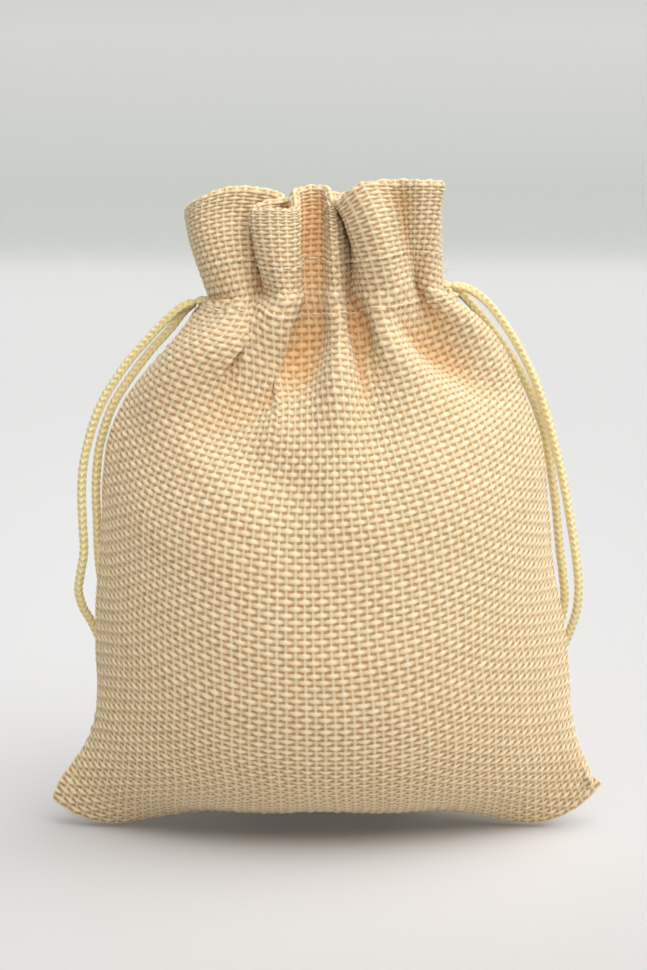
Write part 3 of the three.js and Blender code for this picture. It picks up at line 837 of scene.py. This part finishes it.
cloth = ease(long_folds(cloth))
print("long folds:", len(LONG_FOLDS))

# %% [markdown]
# ## The weave
#
# The cloth is a plain weave of thick yarns with open gaps. The upright yarns
# (warp) stand 1.54 mm apart and the level ones (weft) 1.17 mm apart. Each weft goes over one
# warp and under the next, and its neighbours do the opposite. With three points per yarn the
# relief can be real shape: the mesh then has the rough outline of the cloth, and
# light catches every float. The UV map counts yarns, so the finish follows them exactly.
#
# At the rim the cloth turns over and runs down inside as the hem that forms the band. It is
# drawn as the same grid, carried over the edge and down inside.

# %% Yarn counts
WARPS = 65
WEFTS = 120
TURN_WEFTS = 2
HEM_WEFTS = 21
POINTS_PER_YARN = 3
HEM_GAP = 0.6
WARP_HALF = 0.19
WEFT_HALF = 0.38
TAPER = 0.12
CRIMP = 0.17
WARP_ROUND = 0.20
WEFT_ROUND = 0.26
GAP_DEPTH = 0.12
WAVES = 6
YARN_SPREAD = 0.05
print("warps stand", round(PANEL_WIDTH / WARPS, 2), "mm apart")
print("wefts stand", round(PANEL_HEIGHT / WEFTS, 2), "mm apart")


def woven_relief(a, b):
    """Height of the cloth in mm at a warps across and b wefts up.

    A yarn's height is its crimp, a cosine along it that is high where it is on top, plus the
    half circle of its own section. A yarn is a little wider on top than where it dives.
    Whichever yarn is higher shows, and between yarns lies the gap.
    """
    warp, weft = np.round(a), np.round(b)
    weft_lift = np.cos(np.pi * a) * np.cos(np.pi * weft)
    warp_lift = -np.cos(np.pi * b) * np.cos(np.pi * warp)
    weft_off = (b - weft) / (WEFT_HALF * (1 - TAPER + TAPER * weft_lift))
    warp_off = (a - warp) / (WARP_HALF * (1 - TAPER + TAPER * warp_lift))
    weft_part = np.clip(1 - weft_off**2, 0, 1)
    warp_part = np.clip(1 - warp_off**2, 0, 1)
    weft_top = CRIMP * weft_lift + WEFT_ROUND * np.sqrt(weft_part)
    warp_top = CRIMP * warp_lift + WARP_ROUND * np.sqrt(warp_part)
    weft_top = np.where(weft_part > 0, weft_top, -1)
    warp_top = np.where(warp_part > 0, warp_top, -1)
    return np.maximum(np.maximum(weft_top, warp_top), -GAP_DEPTH)


def uneven(count, amount, draw):
    """Yarn places 0 to count, each moved by a small random amount, with both ends kept."""
    moved = draw.normal(0, amount, count + 1)
    moved[[0, -1]] = 0
    return np.arange(count + 1, dtype=float) + moved


def slow_noise(a, b, draw, size, amount):
    """A smooth random field: the mean of a few waves of random direction and phase."""
    total = np.zeros(np.broadcast(a, b).shape)
    for _ in range(WAVES):
        turn, phase = draw.uniform(0, 2 * np.pi, 2)
        wave = 2 * np.pi / (size * draw.uniform(0.7, 1.5))
        total += np.sin(wave * (a * np.cos(turn) + b * np.sin(turn)) + phase)
    return amount * total / WAVES


# %% Reading the relaxed cloth
def cubic_weights(t):
    """The four Catmull-Rom weights at t between the second and third of four values."""
    return np.stack([
        -0.5 * t + t**2 - 0.5 * t**3,
        1 - 2.5 * t**2 + 1.5 * t**3,
        0.5 * t + 2 * t**2 - 1.5 * t**3,
        -0.5 * t**2 + 0.5 * t**3,
    ])


def cloth_at(coarse, u, v):
    """Reads the relaxed cloth smoothly at u mm across and v mm up: a cubic each way."""
    column, row = u / STEP_ACROSS, np.clip(v / STEP_UP, 0, ROWS)
    first_column, first_row = np.floor(column).astype(int), np.floor(row).astype(int)
    first_row = np.minimum(first_row, ROWS - 1)
    across = cubic_weights(column - first_column)
    up = cubic_weights(row - first_row)
    low_edge = 2 * coarse[:1] - coarse[1:2]
    high_edge = 2 * coarse[-1:] - coarse[-2:-1]
    padded = np.concatenate([low_edge, coarse, high_edge])
    found = np.zeros(u.shape + (coarse.shape[-1],))
    for i in range(4):
        for j in range(4):
            corner = padded[first_row + j, (first_column + i - 1) % (2 * COLUMNS)]
            found += (across[i] * up[j])[..., None] * corner
    return found


# %% Fine cloth
draw = np.random.default_rng(11)
columns = 2 * WARPS * POINTS_PER_YARN
outer_rows = WEFTS * POINTS_PER_YARN
yarn_across = np.arange(columns + 1) / POINTS_PER_YARN
yarn_up = np.arange(outer_rows + 1) / POINTS_PER_YARN
warp_places = uneven(2 * WARPS, YARN_SPREAD, draw)
warp_places[WARPS] = WARPS
weft_places = uneven(WEFTS, YARN_SPREAD, draw)
u_even = np.interp(yarn_across, np.arange(2 * WARPS + 1), warp_places)[None, :]
v_even = np.interp(yarn_up, np.arange(WEFTS + 1), weft_places)[:, None]
seam_share = np.abs(np.sin(np.pi * u_even / WARPS))
end_share = np.clip(np.sin(np.pi * v_even / WEFTS), 0, 1)
hold = np.minimum(1, 6 * seam_share * end_share)
u_yarn = u_even + hold * slow_noise(u_even, v_even, draw, 16, 0.35)
v_yarn = v_even + hold * slow_noise(u_even, v_even, draw, 20, 0.45)
u_mm = np.mod(u_yarn * PANEL_WIDTH / WARPS, 2 * PANEL_WIDTH)
v_mm = v_yarn * PANEL_HEIGHT / WEFTS
outer = cloth_at(cloth, u_mm, v_mm)
outer[:, -1] = outer[:, 0]
print("fine cloth has", outer.shape[0], "rows of", outer.shape[1], "points")


# %% Hem and relief
TABLE_CLEARANCE = 0.05
SLUB_LIMITS = (0.6, 1.4)


def closed_normals(points):
    """Outward direction at each point of a tube whose last column repeats its first."""
    found = outward(points[:, :-1])
    return np.concatenate([found, found[:, :1]], axis=1)


normals = closed_normals(outer)
rim_out = normals[-1]
rim_up = unit(outer[-1] - outer[-3])
turn_rows = TURN_WEFTS * POINTS_PER_YARN
hem_rows = HEM_WEFTS * POINTS_PER_YARN
turn_angle = (np.arange(1, turn_rows + 1) / turn_rows * np.pi)[:, None, None]
turned = (
    outer[-1]
    - rim_out * HEM_GAP * (1 - np.cos(turn_angle))
    + rim_up * HEM_GAP * np.sin(turn_angle)
)
inner = (outer - 2 * HEM_GAP * normals)[-2:-2 - hem_rows:-1]
skin = np.concatenate([outer, turned, inner])
rows = len(skin)
yarn_rows = np.arange(rows) / POINTS_PER_YARN
relief = woven_relief(yarn_across[None, :], yarn_rows[:, None])
slub = 1 + slow_noise(yarn_across[None, :] * 6, yarn_rows[:, None], draw, 9, 0.5)
relief = relief * np.clip(slub, *SLUB_LIMITS)
relief[:3] *= np.array([0.0, 0.4, 0.8])[:, None]
relief[:, -1] = relief[:, 0]
skin = skin + relief[..., None] * closed_normals(skin)
skin[..., 2] = np.maximum(skin[..., 2], TABLE_CLEARANCE)
print("woven skin:", rows, "rows; rim at", skin[..., 2].max().round(1), "mm")

# %% [markdown]
# Cloth looks warmer in its folds, where light has bounced off cloth many times, and the finish
# paints that bounced light into the colour of the folds. How deep a point lies is measured on the
# shape itself: a heavily averaged copy of the cloth passes outside the valleys and inside the
# ridges. The distance is stored on the mesh, and the finish reads it.

# %% Fold depth
DEPTH_PASSES = 14
INSIDE_DEPTH = 1.0


def fold_depth(points, passes):
    """Distance from each point out to a smoothed copy of the surface, in mm."""
    smooth = points[:, :-1].copy()
    for _ in range(passes):
        near = (np.roll(smooth, 1, axis=1) + np.roll(smooth, -1, axis=1)) / 4
        near[1:-1] += (smooth[2:] + smooth[:-2]) / 4
        near[[0, -1]] = smooth[[0, -1]]
        smooth = near
    smooth = np.concatenate([smooth, smooth[:, :1]], axis=1)
    return ((smooth - points) * closed_normals(points)).sum(-1)


depth_coarse = fold_depth(np.concatenate([cloth, cloth[:, :1]], axis=1), DEPTH_PASSES)
depth_outer = cloth_at(depth_coarse[:, :-1, None], u_mm, v_mm)[..., 0]
depth_turned = np.repeat(depth_outer[-1:], turn_rows, axis=0)
# The inside of the hem counts as lying 1 mm deep in a fold, so it gets the painted warm fold light
# too.
depth_inner = np.full((hem_rows, columns + 1), INSIDE_DEPTH)
depth = np.concatenate([depth_outer, depth_turned, depth_inner])
print("fold depth from", depth.min().round(2), "to", depth.max().round(2), "mm")

# %% [markdown]
# A slit is left in each side seam at the band, where the cord comes out. The two sheets are
# parted there by pushing their edges away from the seam's middle.

# %% Two sheets
SLIT_HALF_WIDTH = 1.7
SLIT_REACH_ACROSS = 3.4
SLIT_HALF_HEIGHT = 4.2
half = WARPS * POINTS_PER_YARN
edge_step = np.minimum(np.arange(half + 1), np.arange(half + 1)[::-1])
edge_mm = edge_step[None, :] / POINTS_PER_YARN * PANEL_WIDTH / WARPS
sheets = {}
for which, face, start in (("front", -1, 0), ("back", 1, half)):
    stop = start + half + 1
    part = skin[:, start:stop].copy()
    cord_height = np.where(part[..., 0] < 0, LEFT_CORD_HEIGHT, RIGHT_CORD_HEIGHT)
    near_edge = np.exp(-((edge_mm / SLIT_REACH_ACROSS) ** 2))
    near_cord = np.exp(-(((part[..., 2] - cord_height) / SLIT_HALF_HEIGHT) ** 2))
    part[..., 1] += face * SLIT_HALF_WIDTH * near_edge * near_cord
    yarns = yarn_across[start:stop]
    sheet = grid_mesh(f"{which}_cloth", part, across=yarns, along=yarn_rows)
    attribute = sheet.data.attributes.new("fold_depth", "FLOAT", "POINT")
    attribute.data.foreach_set("value", depth[:, start:stop].astype(np.float32).ravel())
    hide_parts(f"{which}_panel", f"{which}_casing", f"{which}_heading")
    sheets[which] = sheet

# %% [markdown]
# ## Stitches
#
# Two rows of machine stitches go round the neck, above and below the cords, and
# hold the hem down. The sides and the bottom are sewn too. Each stitch is a short thread that
# lies on the cloth and dives in at both ends, so each is its own small closed tube, set square
# to the cloth under it.

# %% Stitch lines
STITCH_PITCH = 2.9
STITCH_RUN = 2.3
THREAD_DIAMETER = 0.42
THREAD_SIDES = 6
STITCH_POINTS = 7
STITCH_SINK = 0.15
STITCH_LIFT = 0.62
STITCH_HEIGHTS = {"lower": 113.2, "upper": 122.6}
SEAM_INSET = 1.1
LOOK_ASIDE = 0.3


def stitch_line(name, first, last):
    """Stitches on the cloth from first to last, each given as mm across and mm up the cloth.

    Along a stitch, the thread's lift above the cloth is an arch, 1 - (2s - 1) ^ 4 for s from 0
    to 1, and its radius fades at both ends in the same way.
    """
    first, last = np.array(first), np.array(last)
    long = np.linalg.norm(last - first)
    run = (last - first) / long
    count = int(long / STITCH_PITCH)
    share = np.linspace(0, 1, STITCH_POINTS)
    at = STITCH_PITCH * (np.arange(count) + 0.5)[:, None] + STITCH_RUN * (share - 0.5)
    u, v = first[0] + run[0] * at, first[1] + run[1] * at
    right = unit(cloth_at(cloth, u + LOOK_ASIDE, v) - cloth_at(cloth, u - LOOK_ASIDE, v))
    up = unit(cloth_at(cloth, u, v + LOOK_ASIDE) - cloth_at(cloth, u, v - LOOK_ASIDE))
    out = unit(np.cross(right, up))
    sideways = unit(np.cross(out, right * run[0] + up * run[1]))
    arch = 1 - (2 * share - 1) ** 4
    lift = (-STITCH_SINK + STITCH_LIFT * arch)[None, :, None]
    centre = cloth_at(cloth, u, v) + out * lift
    angle = -np.arange(THREAD_SIDES) * np.pi / 3
    radius = (0.5 * THREAD_DIAMETER * (0.35 + 0.65 * arch))[None, :, None, None]
    return tube(name, centre, out, sideways, angle, radius, 1, share * STITCH_RUN)


LINES = {}
for which, start in (("front", 0.0), ("back", PANEL_WIDTH)):
    for level, height in STITCH_HEIGHTS.items():
        ends = (start + 3, height), (start + PANEL_WIDTH - 3, height)
        LINES[f"{which}_{level}_stitch"] = (f"{which}_{level}_stitches", *ends)
low, top = 2.0, STITCH_HEIGHTS["lower"] - 2.0
for side, place in (("left", -SEAM_INSET), ("right", PANEL_WIDTH + SEAM_INSET)):
    LINES[f"{side}_seam_thread"] = (f"{side}_seam_stitches", (place, low), (place, top))
ends = (2 * PANEL_WIDTH - 2, SEAM_INSET), (PANEL_WIDTH + 2, SEAM_INSET)
LINES["bottom_seam_thread"] = ("bottom_seam_stitches", *ends)
thread_pieces = []
for packed, (name, first, last) in LINES.items():
    line = stitch_line(name, first, last)
    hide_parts(packed)
    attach(line, "pouch")
    thread_pieces.append(line)

# %% [markdown]
# Burlap sheds fibres. A few stand out at the slits and at the gathers, as thin bent hairs.

# %% Loose fibres
HAIR_DIAMETER = 0.11
HAIR_LENGTHS = (1.8, 4.2)
HAIR_BEND = 0.45
HAIR_POINTS = 8
HAIR_SPOTS = [
    # x, y, z, spread, how many, towards x, y, z
    (-3.0, -9.0, 98.5, 2.2, 12, 0.1, -0.5, -0.5),
    (20.6, -4.4, 102.6, 0.8, 9, 0.3, -0.3, 0.9),
    (-20.0, -4.6, 102.0, 0.7, 3, -0.5, -0.3, 0.8),
    (-9.5, -8.4, 113.4, 0.8, 2, -0.1, -0.2, 1.0),
    (14.0, -9.0, 102.0, 2.0, 4, 0.2, -0.6, 0.2),
    (6.0, -11.0, 92.0, 2.0, 5, 0.1, -0.6, -0.6),
]


def loose_hairs(name):
    """Hairs: each runs from its root along its own direction, bends as s squared for s from 0
    to 1, and thins towards its tip."""
    spots = np.array(HAIR_SPOTS)
    which = np.repeat(np.arange(len(spots)), spots[:, 4].astype(int))
    count = len(which)
    roots = spots[which, :3] + draw.normal(0, 1, (count, 3)) * spots[which, 3:4]
    roots[:, 1] = np.maximum(roots[:, 1], spots[which, 1] - 0.6)
    heading = unit(spots[which, 5:8] + draw.normal(0, HAIR_BEND, (count, 3)))
    bend = unit(np.cross(heading, draw.normal(0, 1, (count, 3))))
    long = draw.uniform(*HAIR_LENGTHS, count)[:, None, None]
    s = np.linspace(0, 1, HAIR_POINTS)[None, :, None]
    straight = roots[:, None] + heading[:, None] * long * s
    centre = straight + bend[:, None] * long * HAIR_BEND * s**2
    forward = unit(np.gradient(centre, axis=1))
    out = unit(np.cross(forward, np.array([0.31, 0.52, 0.79])))
    turn = np.cross(forward, out)
    angle = np.arange(4) * np.pi / 2
    radius = 0.5 * HAIR_DIAMETER * (1 - 0.6 * s)[..., None]
    return tube(name, centre, out, turn, angle, radius, 1, np.linspace(0, 1, HAIR_POINTS))


hairs = loose_hairs("loose_fibres")
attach(hairs, "pouch")

# %% [markdown]
# ## Writing finishes
#
# A finish is a material made of nodes. Its maths reads better as Python, so a small class wraps
# one node socket, and adding, taking away or multiplying it makes the Math node that does it.
# A second class holds the material: one method adds any node, and the others name the few
# nodes that every finish here uses.

# %% Shader maths
class Field:
    """A value that varies over a surface, as one output socket of a finish's nodes."""

    def __init__(self, finish, socket):
        self.finish = finish
        self.socket = socket

    def math(self, operation, *others):
        """The result of a Math node on this value and the others."""
        values = dict(enumerate((self, *others)))
        return self.finish.node("Math", {"operation": operation}, values)

    def __add__(self, other):
        return self.math("ADD", other)

    def __sub__(self, other):
        return self.math("SUBTRACT", other)

    def __rsub__(self, other):
        return (self * -1) + other

    def __mul__(self, other):
        return self.math("MULTIPLY", other)

    def __truediv__(self, other):
        return self.math("DIVIDE", other)

    __radd__ = __add__
    __rmul__ = __mul__

    def clamp(self):
        """This value, held between 0 and 1."""
        return self.math("MAXIMUM", 0.0).math("MINIMUM", 1.0)


class Finish:
    """A material that is being written: its nodes, and the shader that they feed."""

    def __init__(self, name, constants):
        self.material = bpy.data.materials.new(name)
        self.material.use_nodes = True
        self.tree = self.material.node_tree
        self.shader = self.tree.nodes["Principled BSDF"]
        for socket, value in constants.items():
            self.shader.inputs[socket].default_value = value

    def node(self, kind, settings=None, values=None, out=0):
        """Adds a node, sets it up, gives its sockets values or links, and returns one output."""
        made = self.tree.nodes.new("ShaderNode" + kind)
        for name, setting in (settings or {}).items():
            setattr(made, name, setting)
        for socket, value in (values or {}).items():
            if isinstance(value, Field):
                self.tree.links.new(value.socket, made.inputs[socket])
            else:
                made.inputs[socket].default_value = value
        return Field(self, made.outputs[out])

    def blend(self, share, first, second, how="MIX"):
        """A colour that goes from first to second, or to first times second, with share."""
        ends = [x if isinstance(x, Field) else (*x, 1.0) for x in (first, second)]
        settings = {"data_type": "RGBA", "blend_type": how}
        return self.node("Mix", settings, {0: share, 6: ends[0], 7: ends[1]}, 2)

    def in_place(self):
        """Where a point is on its object, in metres."""
        return self.node("TexCoord", None, None, 3)

    def counts(self):
        """Where a point is in the piece's UV map, which counts yarns or stitches."""
        return self.node("UVMap", {"uv_map": "pattern"})

    def parts(self, vector):
        """The x, y and z of a vector, each as a field."""
        node = self.node("SeparateXYZ", None, {0: vector}).socket.node
        return [Field(self, socket) for socket in node.outputs]

    def join(self, x, y, z=0.0):
        """A vector from its x, y and z."""
        return self.node("CombineXYZ", None, {0: x, 1: y, 2: z})

    def noise(self, place, scale, **more):
        """Soft random blotches between 0 and 1."""
        return self.node("TexNoise", None, {"Vector": place, "Scale": scale, **more})

    def coat(self, pieces, colour, height=None, strength=0.0, distance=0.0):
        """Feeds the colour and the bumps to the shader, and coats the pieces with it all."""
        self.tree.links.new(colour.socket, self.shader.inputs["Base Color"])
        if height:
            values = {"Strength": strength, "Distance": distance, "Height": height}
            bumped = self.node("Bump", None, values)
            self.tree.links.new(bumped.socket, self.shader.inputs["Normal"])
        for piece in pieces:
            piece.data.materials.append(self.material)
        nodes = len(self.tree.nodes)
        print(f"{self.material.name}: {nodes} nodes, on pieces: {len(pieces)}")


def from_srgb(red, green, blue):
    """A colour picked as 0 to 255 on a screen, as the linear numbers that a shader takes."""
    value = np.array([red, green, blue]) / 255
    return tuple(np.where(value <= 0.04045, value / 12.92, ((value + 0.055) / 1.055) ** 2.4))


# %% [markdown]
# ## The finish of the cloth
#
# Each weft float is a bright cream oval and the warps beside it are a little greyer. The gaps
# between yarns are painted an ochre shade, which stands in for the shaded inside seen through
# them and for light that gets in there, bounces around and comes out warm. Each yarn is also
# painted darker where it dives under another and along its flanks, as painted shade. No two
# yarns are the same tone. Along each yarn run fine fibre streaks. All of it is worked out from
# the yarn counts in the UV map, with the same sums as the relief.

# %% Cloth finish
WEFT_COLOUR = from_srgb(251, 236, 202)
WEFT_DARK = from_srgb(240, 218, 176)
WARP_COLOUR = from_srgb(238, 226, 194)
WARP_DARK = from_srgb(222, 206, 166)
# Painted shade: the gaps between yarns take this warm ochre in place of the shaded inside seen
# through them.
GAP_SHADE_COLOUR = from_srgb(204, 162, 110)
# Painted bounce light: folds are tinted towards this warm colour by how deep they lie.
PAINTED_FOLD_GLOW = from_srgb(246, 200, 140)
THICKNESS_LEAST = 0.68
THICKNESS_SWING = 0.7
CROSSING_SHARPNESS = 18
YARN_EDGE = 2.6
TONE_BASE = 0.27
OWN_TONE = 0.45
STREAK_TONE = 1.5
DIVE_SHADE = 0.6
FLANK_SHADE = 0.3
FOLD_PER_MM = 0.6
FOLD_MOST = 0.5
PATCH_SHARE = 0.25

woven = Finish(
    "woven_cloth",
    {
        "Roughness": 0.9,
        "Sheen Weight": 0.25,
        "Sheen Roughness": 0.5,
        "Specular IOR Level": 0.2,
    },
)
a, b, _ = woven.parts(woven.counts())
warp, weft = a.math("ROUND"), b.math("ROUND")
weft_lift = (a * math.pi).math("COSINE") * (weft * math.pi).math("COSINE")
warp_lift = (b * math.pi).math("COSINE") * (warp * math.pi).math("COSINE") * -1
thickness = woven.noise(woven.join(a * 0.45, b * 0.6), 1.6)
thickness = thickness * THICKNESS_SWING + THICKNESS_LEAST
weft_off = (b - weft) / (thickness * WEFT_HALF * (weft_lift * TAPER + (1 - TAPER)))
warp_off = (a - warp) / (thickness * WARP_HALF * (warp_lift * TAPER + (1 - TAPER)))
weft_part = (1 - weft_off * weft_off).clamp()
warp_part = (1 - warp_off * warp_off).clamp()
weft_top = CRIMP * weft_lift + WEFT_ROUND * weft_part.math("SQRT")
warp_top = CRIMP * warp_lift + WARP_ROUND * warp_part.math("SQRT")
weft_wins = ((weft_top - warp_top) * CROSSING_SHARPNESS + 0.5).clamp()
warp_wins = 1 - weft_wins
is_yarn = (weft_part.math("MAXIMUM", warp_part) * YARN_EDGE).clamp()
height = weft_top.math("MAXIMUM", warp_top) * is_yarn


def yarn_tone(yarn, seed, along_a, along_b):
    """A tone from 0 to 1 for each yarn, and the fibre streaks that run along it."""
    own = woven.node(
        "TexWhiteNoise", {"noise_dimensions": "2D"}, {"Vector": woven.join(yarn, seed)}
    )
    streak = woven.noise(woven.join(along_a, along_b, seed), 1.0, Detail=2.0, Roughness=0.6)
    return (own * OWN_TONE + (streak - 0.5) * STREAK_TONE + TONE_BASE).clamp(), streak


weft_tone, weft_streak = yarn_tone(weft, 3.7, a * 0.9, b * 9)
warp_tone, warp_streak = yarn_tone(warp, 8.1, a * 11, b * 0.9)
weft_colour = woven.blend(weft_tone, WEFT_DARK, WEFT_COLOUR)
warp_colour = woven.blend(warp_tone, WARP_DARK, WARP_COLOUR)
# Painted shade: a yarn is blended towards the gap colour where it dives under another yarn and
# along its flanks.
dive = (0.5 - 0.5 * (weft_lift * weft_wins + warp_lift * warp_wins)).clamp()
flank = 1 - (weft_part * weft_wins + warp_part * warp_wins)
painted_yarn_shade = (dive * dive * DIVE_SHADE + flank * FLANK_SHADE).clamp()
yarn_colour = woven.blend(weft_wins, warp_colour, weft_colour)
yarn_colour = woven.blend(painted_yarn_shade, yarn_colour, GAP_SHADE_COLOUR)
woven_colour = woven.blend(is_yarn, GAP_SHADE_COLOUR, yarn_colour)
# Painted bounce light: the deeper a point lies in a fold, the more its colour is multiplied
# towards the warm fold colour, varied by random patches.
depth_here = woven.node("Attribute", {"attribute_name": "fold_depth"}, None, 2)
painted_fold_share = (depth_here * FOLD_PER_MM - 0.05).clamp() * FOLD_MOST
patches = woven.noise(woven.in_place(), 38.0)
fold_glow_and_patch_share = (painted_fold_share + (patches - 0.5) * PATCH_SHARE).clamp()
painted_fold_colour = woven.blend(1.0, woven_colour, PAINTED_FOLD_GLOW, "MULTIPLY")
cloth_colour = woven.blend(fold_glow_and_patch_share, woven_colour, painted_fold_colour)
streaks = weft_streak * weft_wins + warp_streak * warp_wins
woven.coat(list(sheets.values()), cloth_colour, height * 0.9 + streaks * 0.16, 0.55, 0.0006)

# %% [markdown]
# ## The finish of the cords
#
# The cord's UV map counts stitch columns round it and stitches along it. The grooves
# between stitches are painted a deeper yellow as shade, and the raised backs of the stitches
# are painted paler, as a painted highlight.

# %% Cord finish
CORD_LIGHT = from_srgb(253, 242, 196)
CORD_DEEP = from_srgb(234, 210, 134)

knitted = Finish(
    "knitted_cord", {"Roughness": 0.55, "Sheen Weight": 0.3, "Specular IOR Level": 0.35}
)
a, b, _ = knitted.parts(knitted.counts())
sway = ((a.math("FRACT") * 2) - 1).math("ABSOLUTE")
stitch_wave = ((b + sway * 0.5) * (2 * math.pi)).math("COSINE")
column_wave = (a * (2 * math.pi)).math("COSINE")
# Painted shade and highlight: the colour runs from CORD_DEEP in the grooves between stitches to
# CORD_LIGHT on their raised backs, with random fluff.
raised = (stitch_wave * 0.3 - column_wave * 0.25 + 0.5).clamp()
fluff = knitted.noise(knitted.join(a * 3, b * 2), 2.0, Detail=3.0)
tone = (raised * 0.75 + (fluff - 0.5) * 0.6 + 0.15).clamp()
cord_colour = knitted.blend(tone, CORD_DEEP, CORD_LIGHT)
knitted.coat(cord_pieces, cord_colour, raised + fluff * 0.4, 0.6, 0.0004)

# %% [markdown]
# ## The finishes of the threads and fibres
#
# Sewing thread is two plies twisted together, smoother and paler than the cloth. The twist is a
# diagonal wave across the place on the object. A loose fibre is a bit of yarn, so it has the
# yarns' own shades, in blotches.

# %% Thread and fibre finishes
THREAD_LIGHT = from_srgb(246, 234, 206)
THREAD_DEEP = from_srgb(222, 202, 164)

thread = Finish("sewing_thread", {"Roughness": 0.6, "Sheen Weight": 0.2})
wave_values = {"Vector": thread.in_place(), "Scale": 900.0, "Distortion": 1.5}
twist = thread.node("TexWave", {"bands_direction": "DIAGONAL"}, wave_values)
thread_colour = thread.blend(twist, THREAD_DEEP, THREAD_LIGHT)
thread.coat(thread_pieces, thread_colour, twist, 0.4, 0.0002)

fibre = Finish("loose_fibre", {"Roughness": 0.7, "Sheen Weight": 0.2})
shade = fibre.noise(fibre.in_place(), 400.0)
fibre.coat([hairs], fibre.blend(shade, WARP_DARK, WEFT_COLOUR))

# %% [markdown]
# ## The sheets in place
#
# The frill above the cords can be spread by hand. Its cloth is one piece with the body. Each
# sheet's placement is baked into its mesh.

# %% Sheets in place
BEND_FROM = 0.1000
BEND_TO = 0.1090
for which, y in (("front", -0.0102), ("back", 0.0102)):
    start, end = (0, y, BEND_FROM), (0, y, BEND_TO)
    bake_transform(sheets[which])
    print(f"{which} cloth bends from z = {BEND_FROM} to {BEND_TO} m")

# %% [markdown]
# ## Table, backdrop and light
#
# The pouch stands on a pale table with a soft, pale wall behind it. Table and wall are
# one sheet that curves up far behind, so no edge shows. A very wide lamp stands high on the
# right, a softbox high in front of it fills the near side, and a narrow, weak beam brightens
# the neck. A pale sky does the rest.

# %% Table and backdrop
TABLE_BACK = 2.6
TABLE_FRONT = -3.0
SWEEP_RADIUS = 0.9
SWEEP_END = 3.5
TABLE_SIDE = 4.0


def sweep():
    """Flat from front to back, then a quarter circle up into an upright wall."""
    turn = np.linspace(0, np.pi / 2, 24)
    y = np.concatenate([[TABLE_FRONT], TABLE_BACK + SWEEP_RADIUS * np.sin(turn), [SWEEP_END]])
    z = np.concatenate([[0.0], SWEEP_RADIUS * (1 - np.cos(turn)), [SWEEP_END]])
    x = np.linspace(-TABLE_SIDE, TABLE_SIDE, 9)
    grid_x, grid_y = np.meshgrid(x, y)
    grid_z = np.broadcast_to(z[:, None], grid_x.shape)
    return np.stack([grid_x, grid_y, grid_z], axis=-1) / MM


table = grid_mesh("table_and_wall", sweep())
table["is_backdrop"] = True
TABLE_COLOUR = from_srgb(211, 211, 212)
TABLE_FRONT_SHADE = from_srgb(160, 150, 142)
WALL_LOW_COLOUR = from_srgb(190, 194, 190)
WALL_HIGH_COLOUR = from_srgb(213, 214, 212)
pale = Finish("pale_table", {"Roughness": 0.6})
in_place = pale.in_place()
_, table_y, table_z = pale.parts(in_place)
# Painted shade: the table is painted darker towards the front, standing in for light that falls
# off there.
front_shade_share = (table_y / -0.45).clamp()
speckle = (pale.noise(in_place, 3.0) - 0.5) * 0.1
back_share = ((table_y - 2.0) / 0.8 + speckle).clamp()
high_share = ((table_z - 0.08) / 0.25).clamp()
table_colour = pale.blend(front_shade_share, TABLE_COLOUR, TABLE_FRONT_SHADE)
wall_colour = pale.blend(high_share, WALL_LOW_COLOUR, WALL_HIGH_COLOUR)
pale.coat([table], pale.blend(back_share, table_colour, wall_colour))


# %% Lights
def lamp(name, kind, place, target, energy, **settings):
    """A lamp that stands at place and shines towards target."""
    light = bpy.data.lights.new(name, kind)
    light.energy = energy
    for setting, value in settings.items():
        setattr(light, setting, value)
    made = bpy.data.objects.new(name, light)
    made.location = place
    made.rotation_euler = (Vector(target) - made.location).to_track_quat("-Z", "Y").to_euler()
    bpy.context.scene.collection.objects.link(made)
    print(f"{name}: {kind.lower()} of strength {energy}")


SUN_PLACE = (0.40, -0.16, 0.90)
SUN_SOFTNESS = math.radians(75)
SUN_COLOUR = (1.0, 0.985, 0.965)
FRONT_PLACE = (0.05, -0.90, 1.20)
NECK_PLACE = (0.02, -0.60, 0.32)
NECK_TARGET = (-0.002, -0.01, 0.114)
NECK_BEAM = math.radians(12.5)
SKY_COLOUR = (0.97, 0.985, 1.0, 1.0)
SKY_STRENGTH = 0.27

lamp(
    "overhead_softbox", "SUN", SUN_PLACE, (0, 0, 0), 3.3, angle=SUN_SOFTNESS, color=SUN_COLOUR
)
lamp("front_softbox", "AREA", FRONT_PLACE, (0, 0, 0.11), 2.0, size=0.9)
lamp(
    "neck_light",
    "SPOT",
    NECK_PLACE,
    NECK_TARGET,
    16.0,
    spot_size=NECK_BEAM,
    spot_blend=1.0,
    shadow_soft_size=0.10,
)

world = bpy.data.worlds.new("soft_room")
world.use_nodes = True
sky = world.node_tree.nodes["Background"]
sky.inputs["Color"].default_value = SKY_COLOUR
sky.inputs["Strength"].default_value = SKY_STRENGTH
bpy.context.scene.world = world
print("sky of strength", SKY_STRENGTH)

# %% [markdown]
# ## Size
#
# The size of the finished model is printed, as the box round everything but the backdrop.

# %% Size
low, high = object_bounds()
print("visual box in mm:", [round(x / MM, 1) for x in (*low, *high)])
